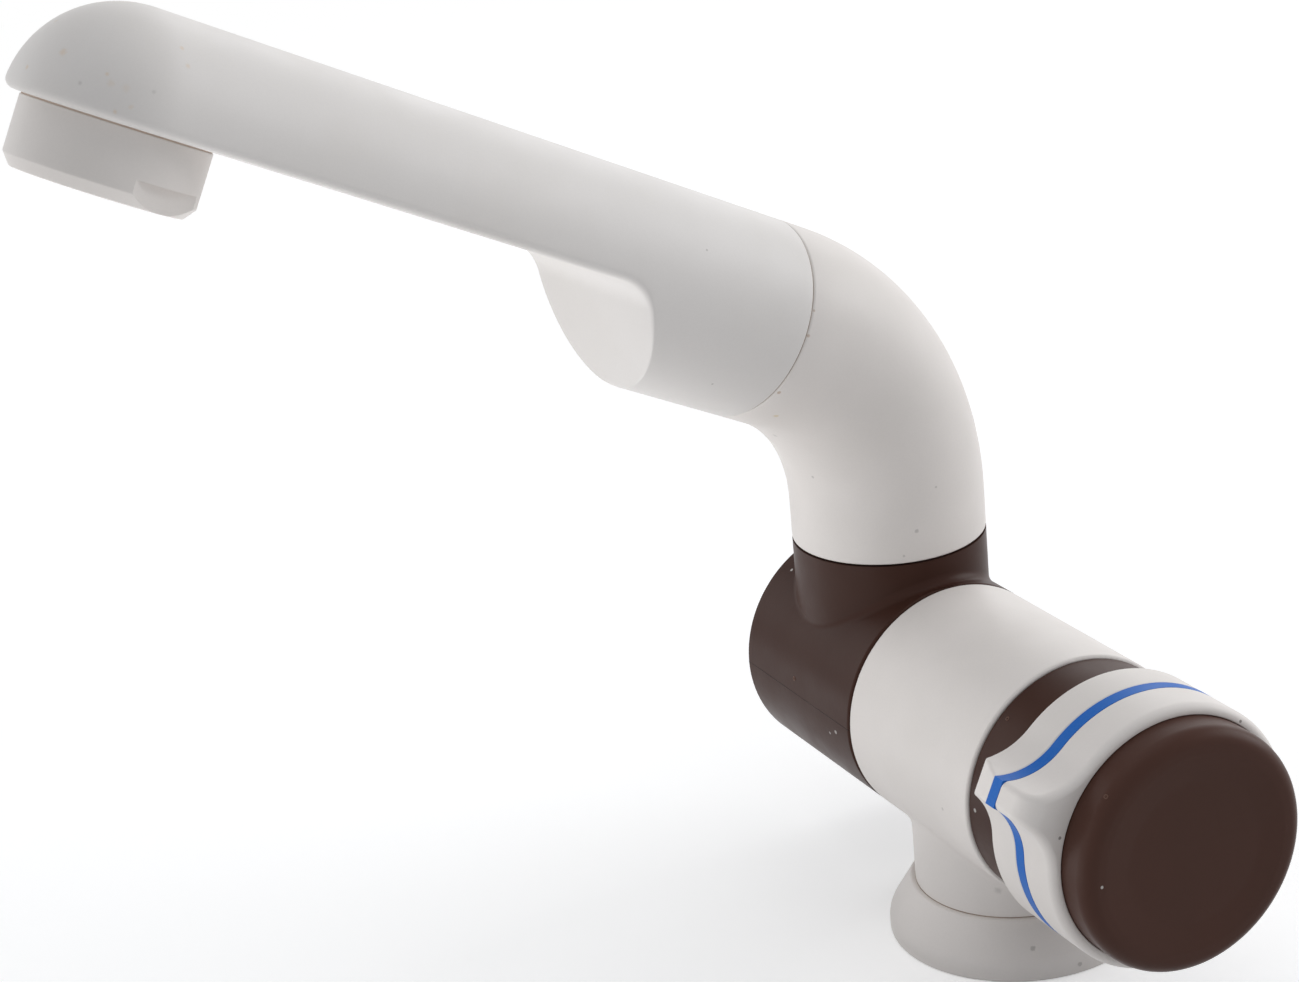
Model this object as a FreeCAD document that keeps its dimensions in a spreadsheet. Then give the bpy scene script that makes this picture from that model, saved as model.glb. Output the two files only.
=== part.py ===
import FreeCAD, Part
import Sketcher
import math
import os

# A folding basin tap for a small boat or caravan, in millimetres.
# The origin is the centre of the base flange's underside, +Z is up, the barrel lies along Y with the
# knob at its -Y end, and the spout reaches towards -X. Turning the knob opens a ceramic valve and lifts
# the button of a small switch that starts the pump. The tee behind the barrel folds down about the
# barrel's axis, and the elbow with the spout swivels in the tee.

SIZES = (
    # play and fits
    ("turning_play", 0.08, "radial play between a bore and what turns in it"),
    ("fitted_play", 0.05, "radial play between fixed pieces"),
    ("casing_seam", 0.25, "open seam between casings that move apart"),
    ("swing_room", 0.3, "room between pieces that pass each other"),
    ("groove_slack", 0.02, "room under a seal ring in its groove"),
    ("groove_share", 1.3, "half width of such a groove over half the ring's thickness"),
    ("edge_round", 0.5, "rounding of the casings' edges"),
    # barrel, stem and base
    ("axis_height", 33.3, "barrel axis above the deck"),
    ("barrel_radius", 19.8, "outside of the barrel and of the tee"),
    ("barrel_front", 19.4, "barrel's front end, ahead of the stem's axis"),
    ("barrel_rear", 15.8, "barrel's rear end, behind the stem's axis"),
    ("stem_radius", 16.0, "stem under the barrel"),
    ("flange_radius", 20.55, "base flange at the deck"),
    ("flange_top_radius", 16.75, "base flange at the stem"),
    ("flange_height", 9.0, "base flange's top above the deck"),
    ("flange_bend_height", 2.8, "height where the flange starts to draw in"),
    ("flange_bend_round", 3.9, "rounding of that bend"),
    ("gasket_thickness", 1.4, "soft ring under the flange"),
    ("gasket_radius", 18.5, "outside of that ring"),
    ("flange_floor", 1.6, "flange's floor under the spigot"),
    ("spigot_radius", 14.2, "barrel's spigot inside the flange"),
    # deck fixing
    ("shank_radius", 12.0, "threaded shank, M24"),
    ("shank_bore", 9.8, "bore of the shank"),
    ("shank_below", 46.0, "shank's end below the deck's top"),
    ("shank_plate", 2.4, "plate across the shank's top"),
    ("plate_rise", 0.9, "that plate's top above the flange"),
    ("shank_room", 0.3, "room round the shank in the flange"),
    ("washer_room", 0.2, "room round the shank in its washers"),
    ("deck_thickness", 20.0, "deck between the gasket and the washers"),
    ("rubber_thickness", 2.0, "rubber washer under the deck"),
    ("rubber_radius", 20.0, "outside of the rubber washer"),
    ("clamp_thickness", 1.5, "steel washer under the rubber one"),
    ("clamp_radius", 19.0, "outside of the steel washer"),
    ("nut_flats", 36.0, "backnut across its flats"),
    ("nut_height", 9.0, "height of the backnut"),
    ("nut_chamfer_share", 0.6, "rise of its chamfers over their depth"),
    # cold inlet
    ("inlet_offset", 4.0, "inlet axis ahead of the stem's axis"),
    ("inlet_head_radius", 7.0, "inlet pipe's head in the barrel"),
    ("inlet_head_length", 5.8, "length of that head"),
    ("inlet_tube_radius", 4.6, "inlet pipe"),
    ("inlet_bore", 3.4, "its bore"),
    ("tail_radius", 5.0, "plain tail for a 10 mm push-fit hose"),
    ("tail_length", 20.0, "its length"),
    ("tail_clear", 2.0, "tail's start below the shank's end"),
    ("water_bore", 3.6, "water way from the inlet to the valve"),
    ("inlet_ring_wire", 0.83, "half the thickness of the inlet's seal ring"),
    # lead duct
    ("duct_radius", 1.6, "upright duct for the switch leads"),
    ("duct_front_radius", 1.4, "the same duct along the barrel"),
    ("duct_side", 6.2, "duct beside the stem's axis"),
    ("duct_back", 3.5, "duct behind the stem's axis"),
    ("duct_drop", 14.4, "duct below the barrel's axis"),
    # ceramic valve
    ("cartridge_radius", 9.1, "bore that holds the valve"),
    ("port_radius", 4.5, "port behind the valve"),
    ("port_length", 3.0, "length of that port"),
    ("valve_seal_thickness", 1.2, "soft seal behind the discs"),
    ("valve_seal_radius", 8.8, "outside of that seal"),
    ("valve_seal_step", 0.5, "its inner edge outside the port"),
    ("disc_thickness", 2.4, "each ceramic disc"),
    ("disc_radius", 8.0, "turning disc"),
    ("disc_hole", 2.2, "water holes of the discs"),
    ("disc_hole_circle", 4.7, "circle that they lie on"),
    ("fixed_hole", 1.98, "water holes of the fixed disc"),
    ("fixed_hole_circle", 2.585, "circle that they lie on"),
    ("sleeve_wall", 0.75, "wall of the valve's sleeve"),
    ("sleeve_shoulder", 2.4, "shoulder of the sleeve"),
    ("shoulder_play", 0.2, "radial play of that shoulder"),
    ("window_width", 7.0, "windows in the sleeve"),
    ("chamber_radius", 11.0, "water ring around the sleeve"),
    ("chamber_start", 3.9, "where that ring starts"),
    ("chamber_length", 4.6, "its length"),
    ("bearing_start", 9.3, "spindle's bearing in the sleeve"),
    ("gland_radius", 11.6, "threaded bore for the gland nut"),
    ("gland_start", 11.5, "where that bore starts"),
    ("gland_length", 6.5, "length of the gland nut"),
    ("gland_bore", 7.5, "bore of the gland nut"),
    ("gland_key", 8.475, "its hexagon for a key, to the corners"),
    # spindle
    ("spindle_radius", 3.9, "spindle"),
    ("spindle_head", 7.0, "spindle's head behind the bearing"),
    ("spindle_end", 33.0, "spindle's front end"),
    ("spindle_flat", 3.2, "flats that carry the cam and the knob"),
    ("flat_start", 21.8, "where those flats start"),
    ("tongue_width", 2.9, "tongue of the spindle in the turning disc"),
    ("tongue_reach", 4.15, "half the length of that tongue"),
    ("tongue_depth", 0.85, "its depth in the disc"),
    ("spindle_wire", 0.45, "half the thickness of the spindle's seal rings"),
    ("spindle_ring_start", 1.5, "first of those rings, from the bearing's end"),
    ("spindle_ring_spacing", 1.7, "spacing of the two rings"),
    ("clip_thickness", 0.8, "spindle's retaining clip"),
    ("clip_radius", 5.6, "outside of that clip"),
    ("clip_groove_depth", 0.6, "depth of its groove"),
    ("clip_play", 0.15, "play between clip and shoulder"),
    ("clip_gap", 3.0, "gap in that clip"),
    ("screw_radius", 2.0, "M4 screw of the knob"),
    ("screw_head", 3.5, "its head"),
    ("screw_head_height", 2.4, "height of that head"),
    ("drive_share", 0.4, "size of a screw's drive recess over its head"),
    # collar and switch
    ("collar_radius", 19.3, "collar between barrel and knob"),
    ("collar_end", 27.9, "collar's front end"),
    ("collar_floor", 2.0, "collar's floor"),
    ("collar_bore", 16.6, "inside of the collar"),
    ("collar_hole", 12.5, "hole in its floor"),
    ("skirt_radius", 17.9, "collar's skirt inside the knob"),
    ("skirt_length", 3.6, "length of that skirt"),
    ("lip_length", 2.0, "collar's lip in the barrel's groove"),
    ("lip_inset", 1.25, "that groove inside the barrel's rounded edge"),
    ("lip_groove_width", 1.6, "width of that groove"),
    ("fixing_circle", 14.4, "circle of the collar's screws"),
    ("fixing_radius", 1.4, "those screws"),
    ("fixing_head", 2.1, "their heads"),
    ("fixing_head_height", 1.5, "height of those heads"),
    ("fixing_depth", 5.5, "their length in the barrel"),
    ("cam_radius", 7.75, "switch cam"),
    ("cam_throw", 0.424, "the cam's centre off the axis"),
    ("cam_start", 22.5, "where the cam starts"),
    ("cam_length", 5.0, "length of the cam"),
    ("button_radius", 1.0, "switch button"),
    ("button_length", 2.35, "length of the button"),
    ("button_round", 0.6, "rounding of its tip"),
    ("button_travel", 0.6, "travel of the button"),
    ("switch_gap", 0.85, "switch above the cam's widest reach at rest"),
    ("switch_width", 12.8, "switch across"),
    ("switch_height", 6.0, "switch's height"),
    ("switch_length", 5.7, "switch along the barrel"),
    ("switch_screw", 0.95, "screws of the switch"),
    ("switch_screw_spacing", 6.5, "spacing of those screws"),
    ("switch_screw_height", 4.2, "those screws above the switch's foot"),
    ("switch_screw_head", 1.7, "their heads"),
    ("terminal_spacing", 5.2, "spacing of the terminals"),
    ("terminal_width", 2.0, "terminals"),
    ("terminal_thickness", 0.5, "their sheet"),
    ("terminal_height", 1.6, "their height"),
    # knob
    ("knob_radius", 20.9, "knob"),
    ("knob_start", 28.2, "knob's rear edge"),
    ("band_start", 34.9, "rear edge of the coloured disc"),
    ("band_width", 2.1, "thickness of the coloured disc"),
    ("knob_face", 44.35, "knob's front face"),
    ("tab_reach", 27.3, "end of the knob's tab"),
    ("tab_rear_reach", 24.7, "the tab's end at the rear edge"),
    ("tab_angle", 25.5, "tab above the spout's side when closed"),
    ("flank_radius", 11.0, "hollow flanks of the tab"),
    ("flank_angle", 24.0, "where each flank leaves the round"),
    ("tab_round", 3.6, "rounding of the tab's front"),
    ("knob_round", 1.3, "rounding of the knob's front edge"),
    ("knob_bore", 18.3, "hollow in the knob's rear half"),
    ("knob_floor", 2.9, "floor of the rear half"),
    ("hub_radius", 6.5, "hub on the spindle"),
    ("spigot_ring_inner", 10.4, "ring that centres the knob's halves"),
    ("spigot_ring_outer", 11.9, "outside of that ring"),
    ("spigot_ring_depth", 1.5, "its depth in the rear half"),
    ("cap_radius", 19.2, "cap in the knob's front"),
    ("cap_seat", 40.5, "floor of the cap's seat"),
    ("cap_face", 50.3, "cap's front"),
    ("cap_round", 1.7, "rounding of the cap's shoulder"),
    ("cap_wall", 2.0, "cap's wall"),
    ("cap_dish_radius", 16.2, "shallow dish in the cap's front"),
    ("cap_dish_depth", 0.4, "its depth"),
    # tee and its bolt
    ("tee_end", 50.4, "tee's rear end behind the stem's axis"),
    ("stub_back", 33.8, "stub's axis behind the stem's axis"),
    ("stub_radius", 16.0, "stub, elbow and spout"),
    ("stub_top", 24.2, "stub's top above the barrel's axis"),
    ("journal_radius", 8.0, "part of the bolt that the tee turns on"),
    ("bolt_thread", 7.0, "bolt's thread in the barrel"),
    ("bolt_thread_length", 12.0, "its length"),
    ("bolt_bore", 5.0, "water way in the bolt"),
    ("bolt_hole", 4.0, "cross holes of the bolt"),
    ("bolt_bore_end", 40.0, "where the water way ends"),
    ("tee_chamber_radius", 11.0, "water ring in the tee"),
    ("tee_chamber_half", 6.0, "half its length, about the stub's axis"),
    ("tee_bore_end", 43.2, "floor of the bolt head's recess"),
    ("head_recess", 12.2, "that recess"),
    ("bolt_head_radius", 11.0, "bolt's head, to its corners"),
    ("bolt_head_height", 2.8, "height of the head"),
    ("bolt_washer", 0.5, "washer under the head"),
    ("bolt_washer_room", 0.6, "room round that washer"),
    ("plug_start", 46.9, "seat of the end plug"),
    ("plug_radius", 15.5, "end plug"),
    ("plug_wall", 2.5, "wall of the plug's skirt"),
    ("plug_skirt", 1.6, "depth of that skirt"),
    ("seat_washer_radius", 15.0, "washer between barrel and tee"),
    ("seat_washer_thickness", 1.0, "its thickness"),
    ("seat_recess", 0.8, "its recess in the barrel"),
    ("shoulder_land", 1.05, "land between that recess and the bolt's shoulder"),
    ("ring_wire", 0.9, "half the thickness of the bolt's seal rings"),
    ("front_ring_place", 21.0, "front seal ring"),
    ("rear_ring_place", 41.4, "rear seal ring"),
    ("way_up_radius", 5.5, "water way up the stub"),
    # swivel joint
    ("socket_radius", 11.0, "socket in the stub, and bore of the elbow"),
    ("socket_depth", 11.5, "depth of that socket"),
    ("joint_spigot_play", 0.1, "play of a spigot in that socket"),
    ("swivel_bore", 8.5, "water way in the elbow's spigot"),
    ("swivel_wire", 0.85, "half the thickness of the joint's seal rings"),
    ("lower_ring_height", 1.9, "lower seal ring above the spigot's end"),
    ("ring_spacing", 3.2, "spacing of the two seal rings"),
    ("clip_height", 8.0, "retaining clip above the spigot's end"),
    ("swivel_clip_thickness", 1.2, "that clip"),
    ("swivel_clip_radius", 12.0, "outside of its groove in the stub"),
    ("swivel_clip_bite", 1.0, "depth of its groove in the spigot"),
    ("swivel_clip_gap", 9.0, "gap in that clip"),
    ("swivel_washer_radius", 15.0, "washer between stub and elbow"),
    ("swivel_washer_thickness", 1.0, "its thickness"),
    # elbow
    ("elbow_rise", 6.7, "straight foot of the elbow"),
    ("elbow_bend", 38.4, "bend radius of the elbow's centre line"),
    ("spout_tilt", 28.0, "spout's rise above the level"),
    ("elbow_reach", 5.56, "straight end of the elbow"),
    ("spigot_root", 2.7, "spigot's root inside the elbow's foot"),
    ("spigot_flange", 1.0, "step of that root outside the elbow's bore"),
    ("spout_swing", 8.12, "spout turned towards the knob, at rest"),
    # spout
    ("head_reach", 111.25, "centre of the domed head from the elbow"),
    ("scoop_start", 31.3, "where the flat underside starts"),
    ("scoop_slope", 34.6, "slant of the scoop's wall"),
    ("scoop_round", 7.8, "rounding of the scoop"),
    ("joint_spigot_length", 5.4, "spout's spigot in the elbow"),
    ("joint_ring_place", 2.75, "seal ring on that spigot"),
    ("joint_seam", 0.12, "fine seam between elbow and spout"),
    ("inner_radius", 12.8, "hollow in the spout's round end"),
    ("inner_start", 3.0, "where it starts"),
    ("inner_length", 14.0, "its length"),
    ("pocket_radius", 12.4, "hollow along the spout"),
    ("pocket_start", 38.0, "where it starts"),
    ("pocket_wall", 2.6, "wall between it and the outlet's washer"),
    ("cover_width", 26.0, "cover under the hollow"),
    ("cover_thickness", 2.0, "its thickness"),
    ("cover_lap", 1.4, "how far it laps over the hollow's ends"),
    ("pipe_radius", 4.8, "pipe in the spout"),
    ("pipe_bore", 3.5, "its bore"),
    ("pipe_height", 7.2, "its axis above the flat underside"),
    ("pipe_socket_front", 3.0, "depth of its socket at the head"),
    ("pipe_socket_rear", 7.0, "depth of its socket at the elbow's side"),
    # outlet
    ("outlet_ahead", 0.35, "outlet's axis past the centre of the domed head"),
    ("outlet_radius", 13.3, "outlet ring"),
    ("outlet_height", 9.65, "height of the outlet ring"),
    ("outlet_chamfer_rise", 1.55, "height of its bottom chamfer"),
    ("outlet_foot_radius", 11.3, "outlet ring's foot"),
    ("outlet_flat_depth", 1.4, "depth of its spanner flats"),
    ("outlet_flat_height", 3.6, "height of those flats"),
    ("outlet_flat_angle", 70.0, "where the flats face"),
    ("neck_radius", 11.5, "ring's thread in the head"),
    ("neck_length", 3.4, "its length in the head"),
    ("head_bore_depth", 8.4, "depth of the head's bore"),
    ("outlet_bore", 9.6, "bore of the ring"),
    ("outlet_lip", 8.6, "lip that holds the strainer"),
    ("outlet_lip_height", 0.9, "its height"),
    ("outlet_washer_radius", 13.0, "outlet washer's recess"),
    ("outlet_washer_recess", 0.9, "depth of that recess"),
    ("mesh_thickness", 0.6, "strainer mesh"),
    ("mesh_hole", 0.7, "its holes"),
    ("mesh_hole_spacing", 2.7, "spacing of their circles"),
    ("insert_wall", 1.3, "wall of the insert above it"),
    ("insert_plate", 1.8, "plate of that insert"),
    ("insert_hole", 0.8, "jets through the plate"),
    ("insert_hole_circle", 5.6, "circle that they lie on"),
)

# angles of the collar's screws, seen from the knob
FIXING_ANGLES = (20, 160, 270)
# rings of holes in the strainer and jets in the insert above it
MESH_RINGS = 3
JETS = 12
# how far a cutting tool runs past the face that it opens
PAST = 1.0

doc = FreeCAD.newDocument("folding_tap")


class Length:
    """A size with its number and the text of the spreadsheet expression that gives it."""

    def __init__(self, value, text):
        self.value = float(value)
        self.text = text

    def __add__(self, other):
        other = length(other)
        return Length(self.value + other.value, "(%s + %s)" % (self.text, other.text))

    def __sub__(self, other):
        other = length(other)
        return Length(self.value - other.value, "(%s - %s)" % (self.text, other.text))

    def __mul__(self, other):
        other = length(other)
        return Length(self.value * other.value, "(%s * %s)" % (self.text, other.text))

    def __truediv__(self, other):
        other = length(other)
        return Length(self.value / other.value, "(%s / %s)" % (self.text, other.text))

    def __neg__(self):
        return Length(-self.value, "(0 - %s)" % self.text)

    def __radd__(self, other):
        return length(other) + self

    def __rsub__(self, other):
        return length(other) - self

    def __rmul__(self, other):
        return length(other) * self


def length(number):
    """Take a plain number or a Length."""
    return number if isinstance(number, Length) else Length(number, repr(float(number)))


def sine(angle):
    return Length(math.sin(math.radians(angle.value)), "sin(%s)" % angle.text)


def cosine(angle):
    return Length(math.cos(math.radians(angle.value)), "cos(%s)" % angle.text)


class Sheet:
    """The spreadsheet of driving sizes: each alias reads as a Length."""

    def __init__(self, rows):
        self.cells = doc.addObject("Spreadsheet::Sheet", "sizes")
        for row, (name, value, meaning) in enumerate(rows, 1):
            self.cells.set("A%d" % row, name)
            self.cells.set("B%d" % row, str(value))
            self.cells.set("C%d" % row, meaning)
            self.cells.setAlias("B%d" % row, name)
        doc.recompute()

    def __getattr__(self, name):
        return Length(self.cells.get(name), "sizes." + name)


size = Sheet(SIZES)


# Places

class Place:
    """Where a piece sits, kept as the text of a placement expression."""

    def __init__(self, text=""):
        self.text = text

    def then(self, shift, axis, angle):
        numbers = "; ".join(length(number).text for number in shift)
        step = "placement(vector(%s); rotation(vector(%s); %s))" % (
            numbers, "; ".join(str(part) for part in axis), length(angle).text)
        return Place(self.text + " * " + step if self.text else step)

    def moved(self, along_x=0, along_y=0, along_z=0):
        return self.then((along_x, along_y, along_z), (0, 0, 1), 0)

    def turned(self, axis, angle):
        return self.then((0, 0, 0), axis, angle)


ALONG_X = (1, 0, 0)
ALONG_Y = (0, 1, 0)
ALONG_Z = (0, 0, 1)

upright = Place().moved(0, 0, 0)
# local z runs forwards to the knob, local x stays, local y is up
barrel = Place().then((0, 0, size.axis_height), ALONG_X, 90)
# local z runs backwards to the tee's end
tail = Place().then((0, 0, size.axis_height), ALONG_X, -90)
stub = Place().moved(0, size.stub_back, size.axis_height)
# the knob's own place: local x points along its tab
knob = barrel.turned(ALONG_Z, 180 - size.tab_angle)
# local x points to the spout's side, local z is up
elbow_foot = size.stub_top + size.casing_seam
riser = Place().moved(0, size.stub_back, size.axis_height + elbow_foot).turned(ALONG_Z, 180 + size.spout_swing)
bend_angle = 90 - size.spout_tilt
joint_across = size.elbow_bend * (1 - cosine(bend_angle)) + size.elbow_reach * sine(bend_angle)
joint_up = size.elbow_rise + size.elbow_bend * sine(bend_angle) + size.elbow_reach * cosine(bend_angle)
# local x runs along the spout, local z is square to its flat underside, upwards
spout = riser.moved(joint_across, 0, joint_up).turned(ALONG_Y, -size.spout_tilt)
outlet_reach = size.head_reach + size.outlet_ahead
outlet = spout.moved(outlet_reach, 0, 0)


# Drawing helpers

def bind(item, name, value):
    """Give a property its number through the spreadsheet."""
    value = length(value)
    item.setExpression(name, value.text)


def add(kind, name, place, **values):
    """A primitive at a place, with its sizes bound to the spreadsheet."""
    item = doc.addObject(kind, name)
    for key, value in values.items():
        bind(item, key, value)
    item.setExpression("Placement", place.text)
    return item


def cylinder(name, place, radius, start, end):
    return add("Part::Cylinder", name, place.moved(0, 0, start), Radius=radius, Height=end - length(start))


def block(name, place, low, high):
    sides = [length(top) - bottom for bottom, top in zip(low, high)]
    return add("Part::Box", name, place.moved(*low), Length=sides[0], Width=sides[1], Height=sides[2])


def seal_ring(name, place, outer, wire, level):
    """A round-section ring whose outer edge has the given radius."""
    return add("Part::Torus", name, place.moved(0, 0, level), Radius1=outer - wire, Radius2=wire)


def fuse(name, items):
    item = doc.addObject("Part::MultiFuse", name)
    item.Shapes = items
    return item


def group(name, items):
    item = doc.addObject("Part::Compound", name)
    item.Links = items
    return item


def cut(name, solid, tools):
    item = doc.addObject("Part::Cut", name)
    item.Base = solid
    item.Tool = tools[0] if len(tools) == 1 else fuse(name + "_cuts", tools)
    return item


def common(name, solid, other):
    item = doc.addObject("Part::Common", name)
    item.Base = solid
    item.Tool = other
    return item


def pin(sketch, line, end, across, up):
    """Fix one end of a line in both directions, by its size or on the axis."""
    for number, kind, axis in ((across, "DistanceX", -2), (up, "DistanceY", -1)):
        number = length(number)
        if number.text == "0.0":
            sketch.addConstraint(Sketcher.Constraint("PointOnObject", line, end, axis))
            continue
        index = sketch.addConstraint(Sketcher.Constraint(kind, -1, 1, line, end, number.value))
        name = "%s_%d_%d" % (kind, line, end)
        sketch.renameConstraint(index, name)
        sketch.setExpression("Constraints." + name, number.text)


def fix_radius(sketch, arc, radius):
    index = sketch.addConstraint(Sketcher.Constraint("Radius", arc, radius.value))
    name = "radius_%d" % arc
    sketch.renameConstraint(index, name)
    sketch.setExpression("Constraints." + name, radius.text)


def new_sketch(body, name, plane):
    sketch = body.newObject("Sketcher::SketchObject", name)
    planes = [item for item in body.Origin.OriginFeatures if item.Role == plane]
    sketch.AttachmentSupport = [(planes[0], "")]
    sketch.MapMode = "FlatFace"
    return sketch


def outline(sketch, corners):
    """Draw a closed outline. A corner is (across, up), or (across, up, rounding)."""
    points = [FreeCAD.Vector(length(c[0]).value, length(c[1]).value, 0) for c in corners]
    count = len(points)
    ends = []
    for index, corner in enumerate(corners):
        here = points[index]
        back = (points[index - 1] - here).normalize()
        ahead = (points[(index + 1) % count] - here).normalize()
        if len(corner) == 2:
            ends.append((here, here, None))
            continue
        half = back.getAngle(ahead) / 2
        reach = corner[2].value / math.tan(half)
        centre = here + (back + ahead).normalize() * (corner[2].value / math.sin(half))
        ends.append((here + back * reach, here + ahead * reach, centre))
    for index in range(count):
        sketch.addGeometry(Part.LineSegment(ends[index][1], ends[(index + 1) % count][0]))
    for index, corner in enumerate(corners):
        before = (index - 1) % count
        if len(corner) == 2:
            sketch.addConstraint(Sketcher.Constraint("Coincident", before, 2, index, 1))
            pin(sketch, index, 1, corner[0], corner[1])
            continue
        entry, leave, centre = ends[index]
        first = math.atan2(entry.y - centre.y, entry.x - centre.x)
        last = math.atan2(leave.y - centre.y, leave.x - centre.x)
        left_turn = (last - first) % (2 * math.pi) < math.pi
        circle = Part.Circle(centre, FreeCAD.Vector(0, 0, 1), corner[2].value)
        span = (first, last) if left_turn else (last, first)
        arc = sketch.addGeometry(Part.ArcOfCircle(circle, span[0], span[1]))
        start, stop = (1, 2) if left_turn else (2, 1)
        sketch.addConstraint(Sketcher.Constraint("Tangent", before, 2, arc, start))
        sketch.addConstraint(Sketcher.Constraint("Tangent", index, 1, arc, stop))
        fix_radius(sketch, arc, corner[2])
        point = sketch.addGeometry(Part.Point(points[index]), True)
        sketch.addConstraint(Sketcher.Constraint("PointOnObject", point, 1, before))
        sketch.addConstraint(Sketcher.Constraint("PointOnObject", point, 1, index))
        pin(sketch, point, 1, corner[0], corner[1])


def turned(name, place, corners):
    """A piece made on a lathe: corners are (radius, level) or (radius, level, rounding)."""
    body = doc.addObject("PartDesign::Body", name)
    sketch = new_sketch(body, name + "_profile", "XZ_Plane")
    outline(sketch, corners)
    turn = body.newObject("PartDesign::Revolution", name + "_turn")
    turn.Profile = sketch
    turn.ReferenceAxis = (sketch, ["V_Axis"])
    turn.Angle = 360
    body.setExpression("Placement", place.text)
    return body


def bushing(name, place, inner, outer, start, end):
    """A plain ring or washer."""
    return turned(name, place, [(inner, start), (outer, start), (outer, end), (inner, end)])


def slab(name, place, corners, width):
    """A side outline, across and up, padded to both sides of its plane."""
    body = doc.addObject("PartDesign::Body", name)
    sketch = new_sketch(body, name + "_outline", "XZ_Plane")
    outline(sketch, corners)
    pad = body.newObject("PartDesign::Pad", name + "_pad")
    pad.Profile = sketch
    pad.SideType = "Symmetric"
    bind(pad, "Length", width)
    body.setExpression("Placement", place.text)
    return body


def hexagon(name, place, corner_radius, start, end):
    item = doc.addObject("Part::Prism", name)
    item.Polygon = 6
    bind(item, "Circumradius", corner_radius)
    bind(item, "Height", end - length(start))
    item.setExpression("Placement", place.moved(0, 0, start).text)
    return item


def around(place, circle, angle):
    """A place on a circle about the local z axis."""
    return place.turned(ALONG_Z, angle).moved(circle, 0, 0)


def open_ring(name, place, inner, outer, start, end, gap):
    """A spring clip: a flat ring with a gap on its local x side."""
    ring = bushing(name + "_ring", place, inner, outer, start, end)
    half = length(gap) / 2
    mouth = block(name + "_mouth", place, (0, -half, start - PAST), (outer + PAST, half, end + PAST))
    return cut(name, ring, [mouth])


def keyed(name, place, radius, half_flat, start, end):
    """A round bar with two flats, which carries or drives what sits on it."""
    bar = cylinder(name + "_bar", place, radius, start, end)
    flats = block(name + "_flats", place, (-radius, -half_flat, start), (radius, half_flat, end))
    return common(name, bar, flats)


nodes = {}


def keep(item):
    """Enter a finished sub-part under its own name."""
    nodes[item.Label] = item
    return item


# Base and deck fixing

def make_base():
    spigot_foot = size.gasket_thickness + size.flange_floor
    opening = size.shank_radius + size.shank_room
    keep(turned("base_flange", upright, [
        (opening, size.gasket_thickness),
        (size.gasket_radius + size.fitted_play, size.gasket_thickness),
        (size.gasket_radius + size.fitted_play, 0),
        (size.flange_radius, 0, size.edge_round),
        (size.flange_radius, size.flange_bend_height, size.flange_bend_round),
        (size.flange_top_radius, size.flange_height, size.edge_round),
        (size.spigot_radius + size.fitted_play, size.flange_height),
        (size.spigot_radius + size.fitted_play, spigot_foot),
        (opening, spigot_foot)]))
    keep(bushing("base_gasket", upright, opening, size.gasket_radius, 0, size.gasket_thickness))
    plate_top = inlet_seat()
    shank = turned("shank_tube", upright, [
        (size.shank_bore, -size.shank_below),
        (size.shank_radius, -size.shank_below, size.edge_round),
        (size.shank_radius, plate_top),
        (0, plate_top),
        (0, plate_top - size.shank_plate),
        (size.shank_bore, plate_top - size.shank_plate)])
    inlet_hole = cylinder("shank_inlet_hole", inlet_place(), size.tail_radius + size.fitted_play,
                          plate_top - size.shank_plate - PAST, plate_top + PAST)
    lead_hole = cylinder("shank_lead_hole", duct_place(), size.duct_radius,
                         plate_top - size.shank_plate - PAST, plate_top + PAST)
    keep(cut("mounting_shank", shank, [inlet_hole, lead_hole]))
    opening = size.shank_radius + size.washer_room
    rubber_foot = -size.deck_thickness - size.rubber_thickness
    clamp_foot = rubber_foot - size.clamp_thickness
    nut_foot = clamp_foot - size.nut_height
    keep(bushing("rubber_washer", upright, opening, size.rubber_radius, rubber_foot, -size.deck_thickness))
    keep(bushing("clamp_washer", upright, opening, size.clamp_radius, clamp_foot, rubber_foot))
    corner = size.nut_flats / cosine(length(30)) / 2
    prism = hexagon("backnut_hexagon", upright, corner, nut_foot, clamp_foot)
    face = size.nut_flats / 2
    chamfer = (corner - face) * size.nut_chamfer_share
    form = turned("backnut_form", upright, [
        (size.shank_radius + size.fitted_play, nut_foot),
        (face, nut_foot),
        (corner, nut_foot + chamfer),
        (corner, clamp_foot - chamfer),
        (face, clamp_foot),
        (size.shank_radius + size.fitted_play, clamp_foot)])
    keep(common("backnut", form, prism))


def inlet_seat():
    """Level where the inlet pipe's head rests on the shank's plate."""
    return size.flange_height + size.plate_rise


def inlet_place():
    return upright.moved(0, -size.inlet_offset, 0)


def duct_place():
    return upright.moved(size.duct_side, size.duct_back, 0)


def make_inlet():
    seat = inlet_seat()
    top = seat + size.inlet_head_length
    groove_half = size.inlet_ring_wire * size.groove_share
    middle = (seat + top) / 2
    tail_top = -size.shank_below - size.tail_clear
    tail_end = tail_top - size.tail_length
    socket = size.inlet_head_radius + size.fitted_play
    groove = socket - size.inlet_ring_wire * 2 - size.groove_slack
    corners = [
        (size.inlet_bore, top),
        (size.inlet_head_radius, top),
        (size.inlet_head_radius, middle + groove_half),
        (groove, middle + groove_half),
        (groove, middle - groove_half),
        (size.inlet_head_radius, middle - groove_half),
        (size.inlet_head_radius, seat),
        (size.inlet_tube_radius, seat),
        (size.inlet_tube_radius, tail_top),
        (size.tail_radius, tail_top),
        (size.tail_radius, tail_end, size.edge_round),
        (size.inlet_bore, tail_end)]
    keep(turned("inlet_pipe", inlet_place(), corners))
    keep(seal_ring("inlet_o_ring", inlet_place(), socket, size.inlet_ring_wire, middle))


# Barrel

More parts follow.
